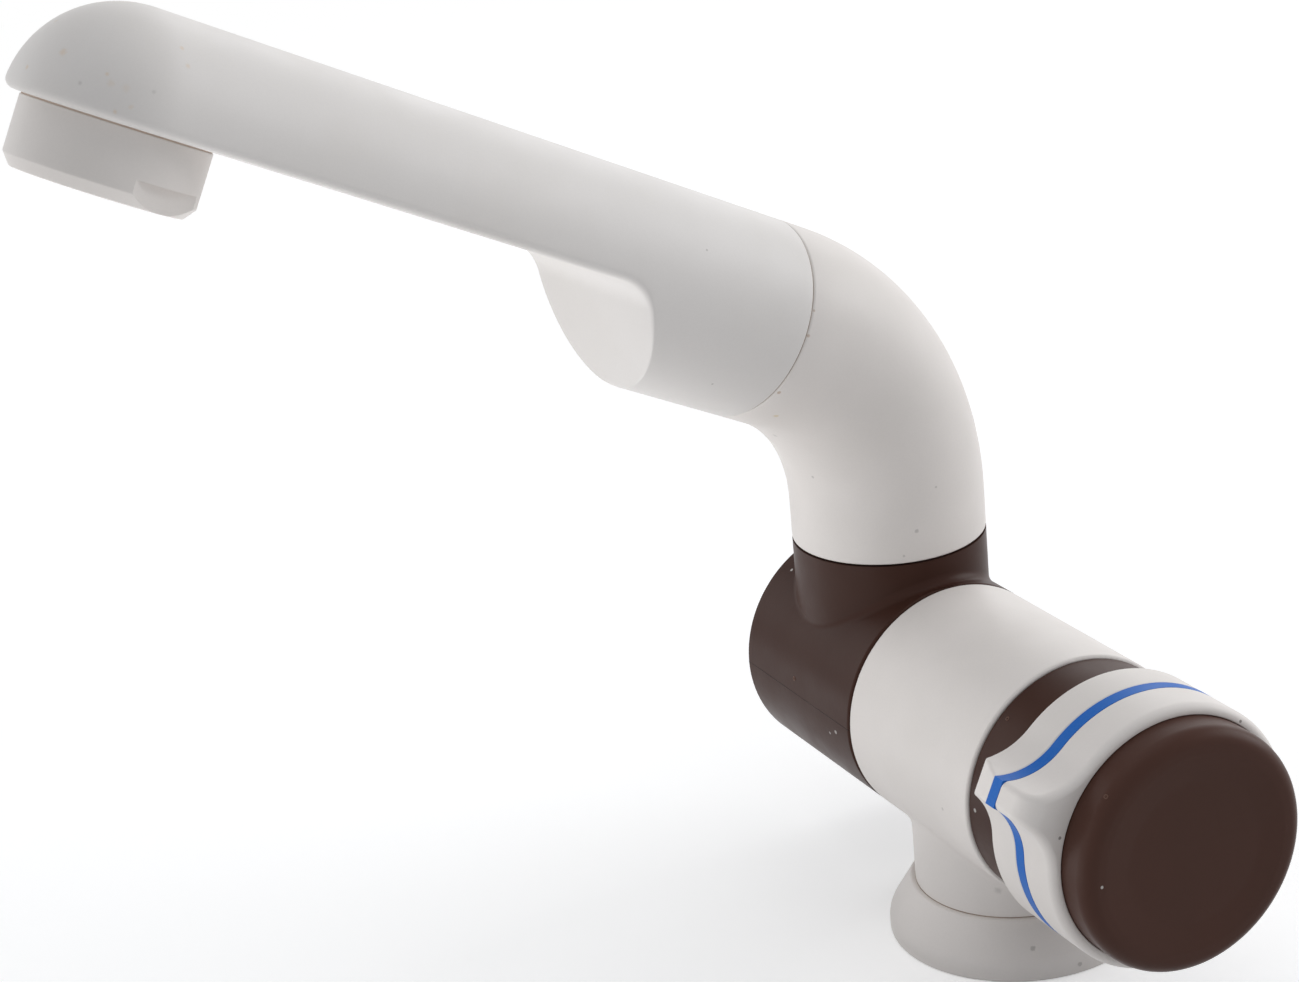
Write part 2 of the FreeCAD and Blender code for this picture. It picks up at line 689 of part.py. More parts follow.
def make_barrel():
    casing = turned("barrel_casing", barrel, [
        (0, -size.barrel_rear),
        (size.barrel_radius, -size.barrel_rear, size.edge_round),
        (size.barrel_radius, size.barrel_front, size.edge_round),
        (0, size.barrel_front)])
    spigot_foot = size.gasket_thickness + size.flange_floor
    stem = cylinder("barrel_stem", upright, size.stem_radius, size.flange_height, size.axis_height)
    spigot = cylinder("barrel_spigot", upright, size.spigot_radius, spigot_foot, size.axis_height)
    thread = size.bolt_thread + size.fitted_play
    chamber_end = size.chamber_start + size.chamber_length
    gland = size.gland_radius
    cavity = turned("barrel_cavity", barrel, [
        (0, -size.barrel_rear - PAST),
        (thread, -size.barrel_rear - PAST),
        (thread, -size.port_length),
        (size.port_radius, -size.port_length),
        (size.port_radius, 0),
        (size.cartridge_radius, 0),
        (size.cartridge_radius, size.chamber_start),
        (size.chamber_radius, size.chamber_start),
        (size.chamber_radius, chamber_end),
        (size.cartridge_radius, chamber_end),
        (size.cartridge_radius, size.gland_start),
        (gland, size.gland_start),
        (gland, size.barrel_front + PAST),
        (0, size.barrel_front + PAST)])
    seat = bushing("barrel_washer_recess", barrel, seat_washer_inner(), size.seat_washer_radius,
                   -size.barrel_rear - PAST, -size.barrel_rear + size.seat_recess)
    lip = lip_groove()
    groove = bushing("barrel_lip_groove", barrel, lip[0], lip[1],
                     size.barrel_front - size.lip_length, size.barrel_front + PAST)
    seat_level = inlet_seat()
    shank_bore = cylinder("barrel_shank_thread", upright, size.shank_radius + size.fitted_play,
                          spigot_foot - PAST, seat_level)
    socket_top = seat_level + size.inlet_head_length + size.swing_room
    socket = cylinder("barrel_inlet_socket", inlet_place(), size.inlet_head_radius + size.fitted_play,
                      seat_level - PAST, socket_top)
    water = cylinder("barrel_water_way", inlet_place(), size.water_bore, socket_top - PAST,
                     size.axis_height - size.cartridge_radius)
    duct_top = size.axis_height - size.duct_drop
    duct_up = cylinder("barrel_duct_up", duct_place(), size.duct_radius, seat_level - PAST,
                       duct_top + size.duct_radius + size.swing_room)
    duct_along = cylinder("barrel_duct_along", barrel.moved(size.duct_side, -size.duct_drop, 0),
                          size.duct_front_radius, -size.duct_back, size.barrel_front + PAST)
    bottom = size.axis_height - size.barrel_radius
    trim = block("barrel_stem_trim", upright, (-size.stem_radius, size.barrel_rear, bottom),
                 (size.stem_radius, size.stem_radius + PAST, size.axis_height))
    holes = [cylinder("barrel_fixing_hole_%d" % index, around(barrel, size.fixing_circle, angle),
                      size.fixing_radius + size.fitted_play,
                      size.barrel_front - size.fixing_depth - size.swing_room, size.barrel_front + PAST)
             for index, angle in enumerate(FIXING_ANGLES)]
    shell = fuse("barrel_solid", [casing, stem, spigot])
    keep(cut("valve_body", shell, [cavity, seat, groove, trim, shank_bore, socket, water, duct_up,
                                   duct_along] + holes))


# Collar and switch

def make_collar():
    floor_back = size.barrel_front + size.casing_seam
    floor_front = floor_back + size.collar_floor
    lip_inner, lip_outer = lip_groove()
    play = size.fitted_play
    body = turned("collar_body", barrel, [
        (size.collar_hole, floor_back),
        (lip_inner + play, floor_back),
        (lip_inner + play, size.barrel_front - size.lip_length + size.swing_room),
        (lip_outer - play, size.barrel_front - size.lip_length + size.swing_room),
        (lip_outer - play, floor_back),
        (size.collar_radius, floor_back),
        (size.collar_radius, size.collar_end),
        (size.skirt_radius, size.collar_end),
        (size.skirt_radius, size.collar_end + size.skirt_length),
        (size.collar_bore, size.collar_end + size.skirt_length),
        (size.collar_bore, floor_front),
        (size.collar_hole, floor_front)])
    lead = cylinder("collar_lead_hole", barrel.moved(size.duct_side, -size.duct_drop, 0),
                    size.duct_front_radius, size.barrel_front - size.lip_length, floor_front + PAST)
    holes = [cylinder("collar_fixing_hole_%d" % index, around(barrel, size.fixing_circle, angle),
                      size.fixing_radius + play, floor_back - PAST, floor_front + PAST)
             for index, angle in enumerate(FIXING_ANGLES)]
    switch_holes = [cylinder("collar_switch_hole_%d" % index, switch_screw_place(side),
                             size.switch_screw + play, floor_back - PAST, floor_front + PAST)
                    for index, side in enumerate((-1, 1))]
    keep(cut("collar_ring", body, [lead] + holes + switch_holes))
    screws = [turned("collar_screw_%d" % index, around(barrel, size.fixing_circle, angle), [
        (0, size.barrel_front - size.fixing_depth),
        (size.fixing_radius, size.barrel_front - size.fixing_depth),
        (size.fixing_radius, floor_front),
        (size.fixing_head, floor_front),
        (size.fixing_head, floor_front + size.fixing_head_height),
        (size.fixing_head * size.drive_share, floor_front + size.fixing_head_height),
        (0, floor_front + size.fixing_head_height * size.drive_share)])
        for index, angle in enumerate(FIXING_ANGLES)]
    keep(group("collar_screws", screws))


def lip_groove():
    """The barrel's groove for the collar's lip: its inner and outer radius."""
    outer = size.barrel_radius - size.edge_round - size.lip_inset
    return outer - size.lip_groove_width, outer


def switch_foot():
    """Height of the switch above the barrel's axis."""
    return cam_top() + size.switch_gap


def cam_top():
    """The cam's reach towards the button when the knob is closed."""
    drop = size.cam_throw * cosine(length(45))
    return size.cam_radius - drop


def switch_back():
    return size.barrel_front + size.casing_seam + size.collar_floor


def switch_screw_place(side):
    height = switch_foot() + size.switch_screw_height
    return barrel.moved(size.switch_screw_spacing * 0.5 * side, height, 0)


def make_switch():
    foot = switch_foot()
    top = foot + size.switch_height
    back = switch_back()
    front = back + size.switch_length
    half = size.switch_width / 2
    middle = size.cam_start + size.cam_length / 2
    case = block("switch_case", barrel, (-half, foot, back), (half, top, front))
    up = barrel.moved(0, 0, middle).turned(ALONG_X, -90)
    tip = cam_top() + size.turning_play
    bore_top = tip + size.button_length + size.button_travel + size.turning_play
    bore = cylinder("switch_bore", up, size.button_radius + size.turning_play, foot - PAST, bore_top)
    holes = [cylinder("switch_hole_%d" % index, switch_screw_place(side),
                      size.switch_screw + size.fitted_play, back - PAST, front + PAST)
             for index, side in enumerate((-1, 1))]
    keep(cut("switch_housing", case, [bore] + holes))
    keep(turned("switch_button", up, [
        (0, tip),
        (size.button_radius, tip, size.button_round),
        (size.button_radius, tip + size.button_length),
        (0, tip + size.button_length)]))
    screws = [turned("switch_screw_%d" % index, switch_screw_place(side), [
        (0, size.barrel_front + size.casing_seam),
        (size.switch_screw, size.barrel_front + size.casing_seam),
        (size.switch_screw, front),
        (size.switch_screw_head, front),
        (size.switch_screw_head, front + size.switch_screw),
        (0, front + size.switch_screw)])
        for index, side in enumerate((-1, 1))]
    keep(group("switch_screws", screws))
    tabs = []
    for index, side in enumerate((-1, 1)):
        centre = size.terminal_spacing * 0.5 * side
        width = size.terminal_width / 2
        tabs.append(block("switch_terminal_%d" % index, barrel,
                          (centre - width, top, middle - size.terminal_thickness / 2),
                          (centre + width, top + size.terminal_height, middle + size.terminal_thickness / 2)))
    keep(group("switch_terminals", tabs))
    offset = size.cam_throw * cosine(length(45))
    disc = cylinder("cam_disc", barrel.moved(offset, -offset, 0), size.cam_radius,
                    size.cam_start, size.cam_start + size.cam_length)
    shaft = keyed("cam_shaft", barrel, size.spindle_radius + size.fitted_play,
                  size.spindle_flat + size.fitted_play, size.cam_start - PAST, size.cam_start + size.cam_length + PAST)
    keep(cut("switch_cam", disc, [shaft]))


# Ceramic valve

def make_valve():
    seal_front = size.valve_seal_thickness
    fixed_front = seal_front + size.disc_thickness
    moving_back = fixed_front + size.fitted_play
    moving_front = moving_back + size.disc_thickness
    sleeve_outer = size.cartridge_radius - size.fitted_play
    sleeve_inner = sleeve_outer - size.sleeve_wall
    keep(bushing("cartridge_seal", barrel, size.port_radius + size.valve_seal_step, size.valve_seal_radius, 0, seal_front))
    fixed = cylinder("fixed_disc_blank", barrel, sleeve_inner - size.fitted_play, seal_front, fixed_front)
    ports = [cylinder("fixed_disc_port_%d" % index, around(barrel, size.fixed_hole_circle, angle),
                      size.fixed_hole, seal_front - PAST, fixed_front + PAST)
             for index, angle in enumerate((90, 270))]
    keep(cut("fixed_disc", fixed, ports))
    moving = cylinder("moving_disc_blank", barrel, size.disc_radius, moving_back, moving_front)
    notches = [cylinder("moving_disc_notch_%d" % index, around(barrel, size.disc_hole_circle, angle),
                        size.disc_hole, moving_back - PAST, moving_front + PAST)
               for index, angle in enumerate((0, 180))]
    slot_half = size.tongue_width / 2 + size.fitted_play
    slot_reach = size.tongue_reach + size.fitted_play
    slot_floor = moving_front - size.tongue_depth - size.fitted_play
    slot = block("moving_disc_slot", barrel, (-slot_half, -slot_reach, slot_floor),
                 (slot_half, slot_reach, moving_front + PAST))
    keep(cut("moving_disc", moving, notches + [slot]))
    shoulder_front = size.gland_start + size.sleeve_shoulder
    bearing = size.spindle_radius + size.turning_play
    sleeve = turned("sleeve_body", barrel, [
        (sleeve_inner, seal_front),
        (sleeve_outer, seal_front),
        (sleeve_outer, size.gland_start),
        (size.gland_radius - size.shoulder_play, size.gland_start),
        (size.gland_radius - size.shoulder_play, shoulder_front),
        (bearing, shoulder_front),
        (bearing, size.bearing_start),
        (sleeve_inner, size.bearing_start)])
    half = size.window_width / 2
    reach = size.cartridge_radius + 1
    window_start = size.chamber_start + size.swing_room
    window_end = size.chamber_start + size.chamber_length - size.swing_room
    windows = block("sleeve_windows", barrel, (-reach, -half, window_start), (reach, half, window_end))
    keep(cut("cartridge_housing", sleeve, [windows]))
    gland_front = shoulder_front + size.gland_length
    nut = bushing("gland_body", barrel, size.gland_bore, size.gland_radius - size.fitted_play,
                  shoulder_front, gland_front)
    key = hexagon("gland_key_cut", barrel, size.gland_key, gland_front - size.gland_length / 2,
                  gland_front + PAST)
    keep(cut("gland_nut", nut, [key]))
    make_spindle(moving_front, shoulder_front)


def make_spindle(disc_front, shoulder_front):
    head_back = disc_front + size.fitted_play
    head_front = size.bearing_start - size.swing_room
    radius = size.spindle_radius
    wire = size.spindle_wire
    play = size.fitted_play
    groove = radius + size.turning_play - play - wire * 2 - size.groove_slack
    half = wire * size.groove_share
    first = size.bearing_start + size.spindle_ring_start
    levels = [first, first + size.spindle_ring_spacing]
    clip_back = shoulder_front + size.clip_play
    clip_front = clip_back + size.clip_thickness
    clip_groove = radius - size.clip_groove_depth
    corners = [(0, head_back), (size.spindle_head, head_back), (size.spindle_head, head_front),
               (radius, head_front)]
    for level in levels:
        corners += [(radius, level - half), (groove, level - half),
                    (groove, level + half), (radius, level + half)]
    corners += [(radius, clip_back - play), (clip_groove, clip_back - play),
                (clip_groove, clip_front + play), (radius, clip_front + play),
                (radius, size.flat_start), (0, size.flat_start)]
    rear = turned("spindle_rear", barrel, corners)
    tongue_half = size.tongue_width / 2
    tongue = block("spindle_tongue", barrel,
                   (-tongue_half, -size.tongue_reach, disc_front - size.tongue_depth),
                   (tongue_half, size.tongue_reach, head_back))
    front = keyed("spindle_front", barrel, radius, size.spindle_flat, size.flat_start, size.spindle_end)
    solid = fuse("spindle_solid", [rear, tongue, front])
    tapping = cylinder("spindle_tapping", barrel, size.screw_radius + size.fitted_play,
                       size.flat_start - PAST, size.spindle_end + PAST)
    keep(cut("valve_spindle", solid, [tapping]))
    rings = [seal_ring("spindle_o_ring_%d" % index, barrel, radius + size.turning_play - play, wire, level)
             for index, level in enumerate(levels)]
    keep(group("spindle_o_rings", rings))
    keep(open_ring("spindle_circlip", barrel.turned(ALONG_Z, 90), clip_groove + play, size.clip_radius,
                   clip_back, clip_front, size.clip_gap))


# Knob

def knob_outline(body, name):
    """The round with its tab: two hollow flanks run from the round to a flat end."""
    sketch = new_sketch(body, name, "XY_Plane")
    across = (size.knob_radius + size.flank_radius) * cosine(size.flank_angle)
    aside = (size.knob_radius + size.flank_radius) * sine(size.flank_angle)
    leave = math.radians(size.flank_angle.value)
    dip = math.sqrt(size.flank_radius.value ** 2 - (across.value - size.tab_reach.value) ** 2)
    tip = FreeCAD.Vector(size.tab_reach.value, aside.value - dip, 0)
    up = FreeCAD.Vector(0, 0, 1)
    main = Part.ArcOfCircle(Part.Circle(FreeCAD.Vector(0, 0, 0), up, size.knob_radius.value),
                            leave, 2 * math.pi - leave)
    sketch.addGeometry(main)
    sketch.addConstraint(Sketcher.Constraint("Coincident", 0, 3, -1, 1))
    fix_radius(sketch, 0, size.knob_radius)
    turn = math.atan2(tip.y - aside.value, tip.x - across.value)
    for side in (1, -1):
        centre = FreeCAD.Vector(across.value, side * aside.value, 0)
        near = math.pi + leave
        span = (near, turn % (2 * math.pi)) if side > 0 else (-turn, 2 * math.pi - near)
        span = (span[0] % (2 * math.pi), span[1] % (2 * math.pi))
        arc = sketch.addGeometry(Part.ArcOfCircle(Part.Circle(centre, up, size.flank_radius.value), *span))
        main_end, arc_end = (1, 1) if side > 0 else (2, 2)
        sketch.addConstraint(Sketcher.Constraint("Tangent", 0, main_end, arc, arc_end))
        fix_radius(sketch, arc, size.flank_radius)
        index = sketch.addConstraint(Sketcher.Constraint("DistanceY", -1, 1, arc, 3, side * aside.value))
        sketch.renameConstraint(index, "flank_%d" % arc)
        sketch.setExpression("Constraints.flank_%d" % arc, (aside * side).text)
    end = sketch.addGeometry(Part.LineSegment(tip, FreeCAD.Vector(tip.x, -tip.y, 0)))
    sketch.addConstraint(Sketcher.Constraint("Coincident", end, 1, 1, 2))
    sketch.addConstraint(Sketcher.Constraint("Coincident", end, 2, 2, 1))
    index = sketch.addConstraint(Sketcher.Constraint("DistanceX", -1, 1, end, 1, size.tab_reach.value))
    sketch.renameConstraint(index, "tab_reach")
    sketch.setExpression("Constraints.tab_reach", size.tab_reach.text)
    sketch.addConstraint(Sketcher.Constraint("Vertical", end))
    return sketch


def knob_blank(name, start, end):
    body = doc.addObject("PartDesign::Body", name)
    pad = body.newObject("PartDesign::Pad", name + "_pad")
    pad.Profile = knob_outline(body, name + "_outline")
    bind(pad, "Length", end - length(start))
    body.setExpression("Placement", knob.moved(0, 0, start).text)
    return body


def make_knob():
    front_start = size.band_start + size.band_width
    floor_back = size.band_start - size.knob_floor
    wide = size.tab_reach + size.knob_round * 4
    play = size.fitted_play
    rear = knob_blank("knob_rear_blank", size.knob_start, size.band_start)
    slope = slab("knob_rear_slope", knob, [
        (size.tab_rear_reach, size.knob_start),
        (size.tab_reach, size.band_start),
        (wide, size.band_start),
        (wide, size.knob_start - PAST),
        (size.tab_rear_reach, size.knob_start - PAST)], size.knob_radius)
    hollow = turned("knob_rear_hollow", knob, [
        (size.hub_radius, size.collar_end),
        (size.hub_radius, floor_back),
        (size.knob_bore, floor_back),
        (size.knob_bore, size.collar_end - PAST),
        (size.hub_radius, size.collar_end - PAST)])
    hub = cylinder("knob_hub", knob, size.hub_radius, size.collar_end, floor_back)
    shaft = keyed("knob_shaft_hole", barrel, size.spindle_radius + play, size.spindle_flat + play,
                  size.collar_end - PAST, size.spindle_end + size.swing_room)
    screw_hole = cylinder("knob_screw_hole", knob, size.screw_radius + play * 2,
                          size.spindle_end, size.band_start + PAST)
    ring_seat = bushing("knob_ring_seat", knob, size.spigot_ring_inner - play,
                        size.spigot_ring_outer + play, size.band_start - size.spigot_ring_depth - play,
                        size.band_start + PAST)
    solid = fuse("knob_rear_solid", [cut("knob_rear_shell", rear, [hollow, slope]), hub])
    keep(cut("knob_rear_half", solid, [shaft, screw_hole, ring_seat]))
    disc = knob_blank("colour_disc_blank", size.band_start, front_start)
    disc_hole = cylinder("colour_disc_hole", knob, size.spigot_ring_outer + play,
                         size.band_start - PAST, front_start + PAST)
    keep(cut("colour_disc", disc, [disc_hole]))
    front = knob_blank("knob_front_blank", front_start, size.knob_face)
    start = size.knob_face - size.tab_round
    nose = slab("knob_front_nose", knob, [
        (-wide, front_start - PAST),
        (size.tab_reach, front_start - PAST),
        (size.tab_reach, size.knob_face, size.tab_round),
        (-wide, size.knob_face)], wide * 2)
    rounded = common("knob_front_rounded", front, nose)
    doc.recompute()
    edges = front_edges(rounded, size.knob_face.value)
    smooth = doc.addObject("Part::Fillet", "knob_front_smooth")
    smooth.Base = rounded
    smooth.Edges = [(edge, size.knob_round.value, size.knob_round.value) for edge in edges]
    seat = turned("knob_front_seat", knob, [
        (0, size.cap_seat),
        (size.cap_radius + play, size.cap_seat),
        (size.cap_radius + play, size.knob_face + PAST),
        (0, size.knob_face + PAST)])
    hole = cylinder("knob_front_hole", knob, size.spigot_ring_inner, front_start - PAST, size.cap_seat + PAST)
    ring = bushing("knob_front_ring", knob, size.spigot_ring_inner, size.spigot_ring_outer,
                   size.band_start - size.spigot_ring_depth, front_start)
    shell = cut("knob_front_shell", smooth, [seat, hole])
    keep(fuse("knob_front_half", [shell, ring]))
    keep(turned("knob_cap", knob, [
        (size.cap_radius - size.cap_wall, size.cap_seat),
        (size.cap_radius, size.cap_seat),
        (size.cap_radius, size.cap_face, size.cap_round),
        (size.cap_dish_radius + size.cap_dish_depth, size.cap_face),
        (size.cap_dish_radius - size.cap_dish_depth, size.cap_face - size.cap_dish_depth),
        (0, size.cap_face - size.cap_dish_depth),
        (0, size.cap_face - size.cap_dish_depth - size.cap_wall),
        (size.cap_radius - size.cap_wall, size.cap_face - size.cap_dish_depth - size.cap_wall)]))
    head_back = size.band_start
    keep(turned("knob_screw", knob, [
        (0, size.flat_start),
        (size.screw_radius, size.flat_start),
        (size.screw_radius, head_back),
        (size.screw_head, head_back),
        (size.screw_head, head_back + size.screw_head_height, size.screw_head_height / 3),
        (size.screw_head * size.drive_share, head_back + size.screw_head_height),
        (0, head_back + size.screw_head_height * size.drive_share)]))


def front_edges(item, level):
    """Names of the outer edges of the face at this level along the barrel."""
    found = []
    for index, edge in enumerate(item.Shape.Edges, 1):
        flat = all(abs(vertex.Point.y + level) < 0.001 for vertex in edge.Vertexes)
        middle = edge.valueAt((edge.FirstParameter + edge.LastParameter) / 2)
        if flat and abs(middle.y + level) < 0.001 and edge.Length > size.flank_radius.value:
            found.append(index)
    return found


# Tee and its bolt

def make_tee():
    play = size.turning_play
    face = size.barrel_rear + size.casing_seam
    half = size.tee_chamber_half
    tube = turned("tee_tube", tail, [
        (0, face),
        (size.barrel_radius, face, size.edge_round),
        (size.barrel_radius, size.tee_end, size.edge_round),
        (0, size.tee_end)])
    post = cylinder("tee_post", stub, size.stub_radius, 0, size.stub_top)
    solid = fuse("tee_solid", [tube, post])
    cavity = turned("tee_cavity", tail, [
        (0, face - PAST),
        (size.journal_radius + play, face - PAST),
        (size.journal_radius + play, size.stub_back - half),
        (size.tee_chamber_radius, size.stub_back - half),
        (size.tee_chamber_radius, size.stub_back + half),
        (size.journal_radius + play, size.stub_back + half),
        (size.journal_radius + play, size.tee_bore_end),
        (size.head_recess, size.tee_bore_end),
        (size.head_recess, size.plug_start),
        (size.plug_radius, size.plug_start),
        (size.plug_radius, size.tee_end + PAST),
        (0, size.tee_end + PAST)])
    foot = size.stub_top - size.socket_depth
    washer_floor = elbow_foot - size.fitted_play - size.swivel_washer_thickness
    spigot_foot = foot + size.swing_room
    clip_level = spigot_foot + size.clip_height
    clip_half = size.swivel_clip_thickness / 2
    way = turned("tee_way_up", stub, [
        (0, size.journal_radius),
        (size.way_up_radius, size.journal_radius),
        (size.way_up_radius, foot),
        (size.socket_radius, foot),
        (size.socket_radius, clip_level - clip_half),
        (size.swivel_clip_radius, clip_level - clip_half),
        (size.swivel_clip_radius, clip_level + clip_half),
        (size.socket_radius, clip_level + clip_half),
        (size.socket_radius, washer_floor),
        (size.swivel_washer_radius, washer_floor),
        (size.swivel_washer_radius, size.stub_top + PAST),
        (0, size.stub_top + PAST)])
    keep(cut("fold_tee", solid, [cavity, way]))
    keep(turned("end_plug", tail, [
        (0, size.plug_start + size.plug_skirt),
        (size.plug_radius - size.plug_wall, size.plug_start + size.plug_skirt),
        (size.plug_radius - size.plug_wall, size.plug_start),
        (size.plug_radius - size.fitted_play, size.plug_start),
        (size.plug_radius - size.fitted_play, size.tee_end, size.edge_round),
        (0, size.tee_end)]))
    washer_top = washer_floor + size.swivel_washer_thickness
    keep(bushing("swivel_washer", stub, size.socket_radius + play, size.swivel_washer_radius - play,
                 washer_floor, washer_top))
    groove_radius = clip_groove_radius()
    keep(open_ring("swivel_clip", stub, groove_radius + play, size.swivel_clip_radius - size.fitted_play,
                   clip_level - clip_half + size.fitted_play, clip_level + clip_half - size.fitted_play,
                   size.swivel_clip_gap))
    seat_back = size.barrel_rear - size.seat_recess
    keep(bushing("fold_seat_washer", tail, seat_washer_inner() + play, size.seat_washer_radius - play,
                 seat_back, seat_back + size.seat_washer_thickness))
    make_bolt()


def seat_washer_inner():
    """The washer's recess leaves a land round the bolt's thread for its shoulder."""
    return size.journal_radius + size.shoulder_land


def clip_groove_radius():
    """Bottom of the groove in the elbow's spigot that the clip sits in."""
    return size.socket_radius - size.joint_spigot_play - size.swivel_clip_bite


def make_bolt():
    journal = size.journal_radius
    wire = size.ring_wire
    groove = journal - wire * 2 - size.groove_slack
    half = wire * size.groove_share
    corners = [
        (size.bolt_bore, size.barrel_rear - size.bolt_thread_length),
        (size.bolt_thread, size.barrel_rear - size.bolt_thread_length),
        (size.bolt_thread, size.barrel_rear),
        (journal, size.barrel_rear)]
    levels = (size.front_ring_place, size.rear_ring_place)
    for level in levels:
        corners += [(journal, level - half), (groove, level - half),
                    (groove, level + half), (journal, level + half)]
    head_foot = size.tee_bore_end + size.fitted_play + size.bolt_washer
    corners += [(journal, head_foot), (0, head_foot), (0, size.bolt_bore_end),
                (size.bolt_bore, size.bolt_bore_end)]
    rod = turned("bolt_rod", tail, corners)
    head = hexagon("bolt_head", tail, size.bolt_head_radius, head_foot, head_foot + size.bolt_head_height)
    solid = fuse("bolt_solid", [rod, head])
    across = tail.moved(0, 0, size.stub_back)
    reach = journal + 1
    holes = [cylinder("bolt_hole_across", across.turned(ALONG_Y, 90), size.bolt_hole, -reach, reach),
             cylinder("bolt_hole_upright", across.turned(ALONG_X, 90), size.bolt_hole, -reach, reach)]
    keep(cut("fold_bolt", solid, holes))
    rings = [seal_ring("fold_o_ring_%d" % index, tail, journal, wire, level)
             for index, level in enumerate(levels)]
    keep(group("fold_o_rings", rings))
    keep(bushing("fold_washer", tail, journal + size.turning_play, size.head_recess - size.bolt_washer_room,
                 size.tee_bore_end + size.fitted_play, head_foot))


# Elbow

def make_elbow():
    body = doc.addObject("PartDesign::Body", "elbow_tube")
    path = new_sketch(body, "elbow_path", "XZ_Plane")
    turn = math.radians(bend_angle.value)
    bend = size.elbow_bend.value
    rise = size.elbow_rise.value
    bend_end = FreeCAD.Vector(bend * (1 - math.cos(turn)), rise + bend * math.sin(turn), 0)
    path.addGeometry(Part.LineSegment(FreeCAD.Vector(0, 0, 0), FreeCAD.Vector(0, rise, 0)))
    circle = Part.Circle(FreeCAD.Vector(bend, rise, 0), FreeCAD.Vector(0, 0, 1), bend)
    path.addGeometry(Part.ArcOfCircle(circle, math.pi - turn, math.pi))
    end = FreeCAD.Vector(joint_across.value, joint_up.value, 0)
    path.addGeometry(Part.LineSegment(bend_end, end))
    path.addConstraint(Sketcher.Constraint("Coincident", 0, 1, -1, 1))
    path.addConstraint(Sketcher.Constraint("Tangent", 0, 2, 1, 2))
    path.addConstraint(Sketcher.Constraint("Tangent", 1, 1, 2, 1))
    pin(path, 0, 2, 0, size.elbow_rise)
    fix_radius(path, 1, size.elbow_bend)
    pin(path, 2, 2, joint_across, joint_up)
    ring = new_sketch(body, "elbow_section", "XY_Plane")
    up = FreeCAD.Vector(0, 0, 1)
    for index, radius in enumerate((size.stub_radius, size.socket_radius)):
        ring.addGeometry(Part.Circle(FreeCAD.Vector(0, 0, 0), up, radius.value))
        ring.addConstraint(Sketcher.Constraint("Coincident", index, 3, -1, 1))
        fix_radius(ring, index, radius)
    tube = body.newObject("PartDesign::AdditivePipe", "elbow_pipe")
    tube.Profile = ring
    tube.Spine = path
    tube.Mode = "Frenet"
    body.setExpression("Placement", riser.text)
    spigot_top = elbow_foot + size.spigot_root
    root = size.socket_radius + size.spigot_flange
    foot = size.stub_top - size.socket_depth + size.swing_room
    outer = size.socket_radius - size.joint_spigot_play
    wire = size.swivel_wire
    ring_outer = size.socket_radius - size.fitted_play
    groove = ring_outer - wire * 2 - size.groove_slack
    half = wire * size.groove_share
    levels = [foot + size.lower_ring_height, foot + size.lower_ring_height + size.ring_spacing]
    clip_level = foot + size.clip_height
    clip_half = size.swivel_clip_thickness / 2
    corners = [(size.swivel_bore, foot), (outer, foot)]
    for level in levels:
        corners += [(outer, level - half), (groove, level - half),
                    (groove, level + half), (outer, level + half)]
    corners += [(outer, clip_level - clip_half), (clip_groove_radius(), clip_level - clip_half),
                (clip_groove_radius(), clip_level + clip_half), (outer, clip_level + clip_half),
                (outer, elbow_foot), (root, elbow_foot), (root, spigot_top), (size.swivel_bore, spigot_top)]
    spigot = turned("elbow_spigot", stub, corners)
    keep(fuse("elbow", [body, spigot]))
    rings = [seal_ring("swivel_o_ring_%d" % index, stub, ring_outer, wire, level)
             for index, level in enumerate(levels)]
    keep(group("swivel_o_rings", rings))


# Spout

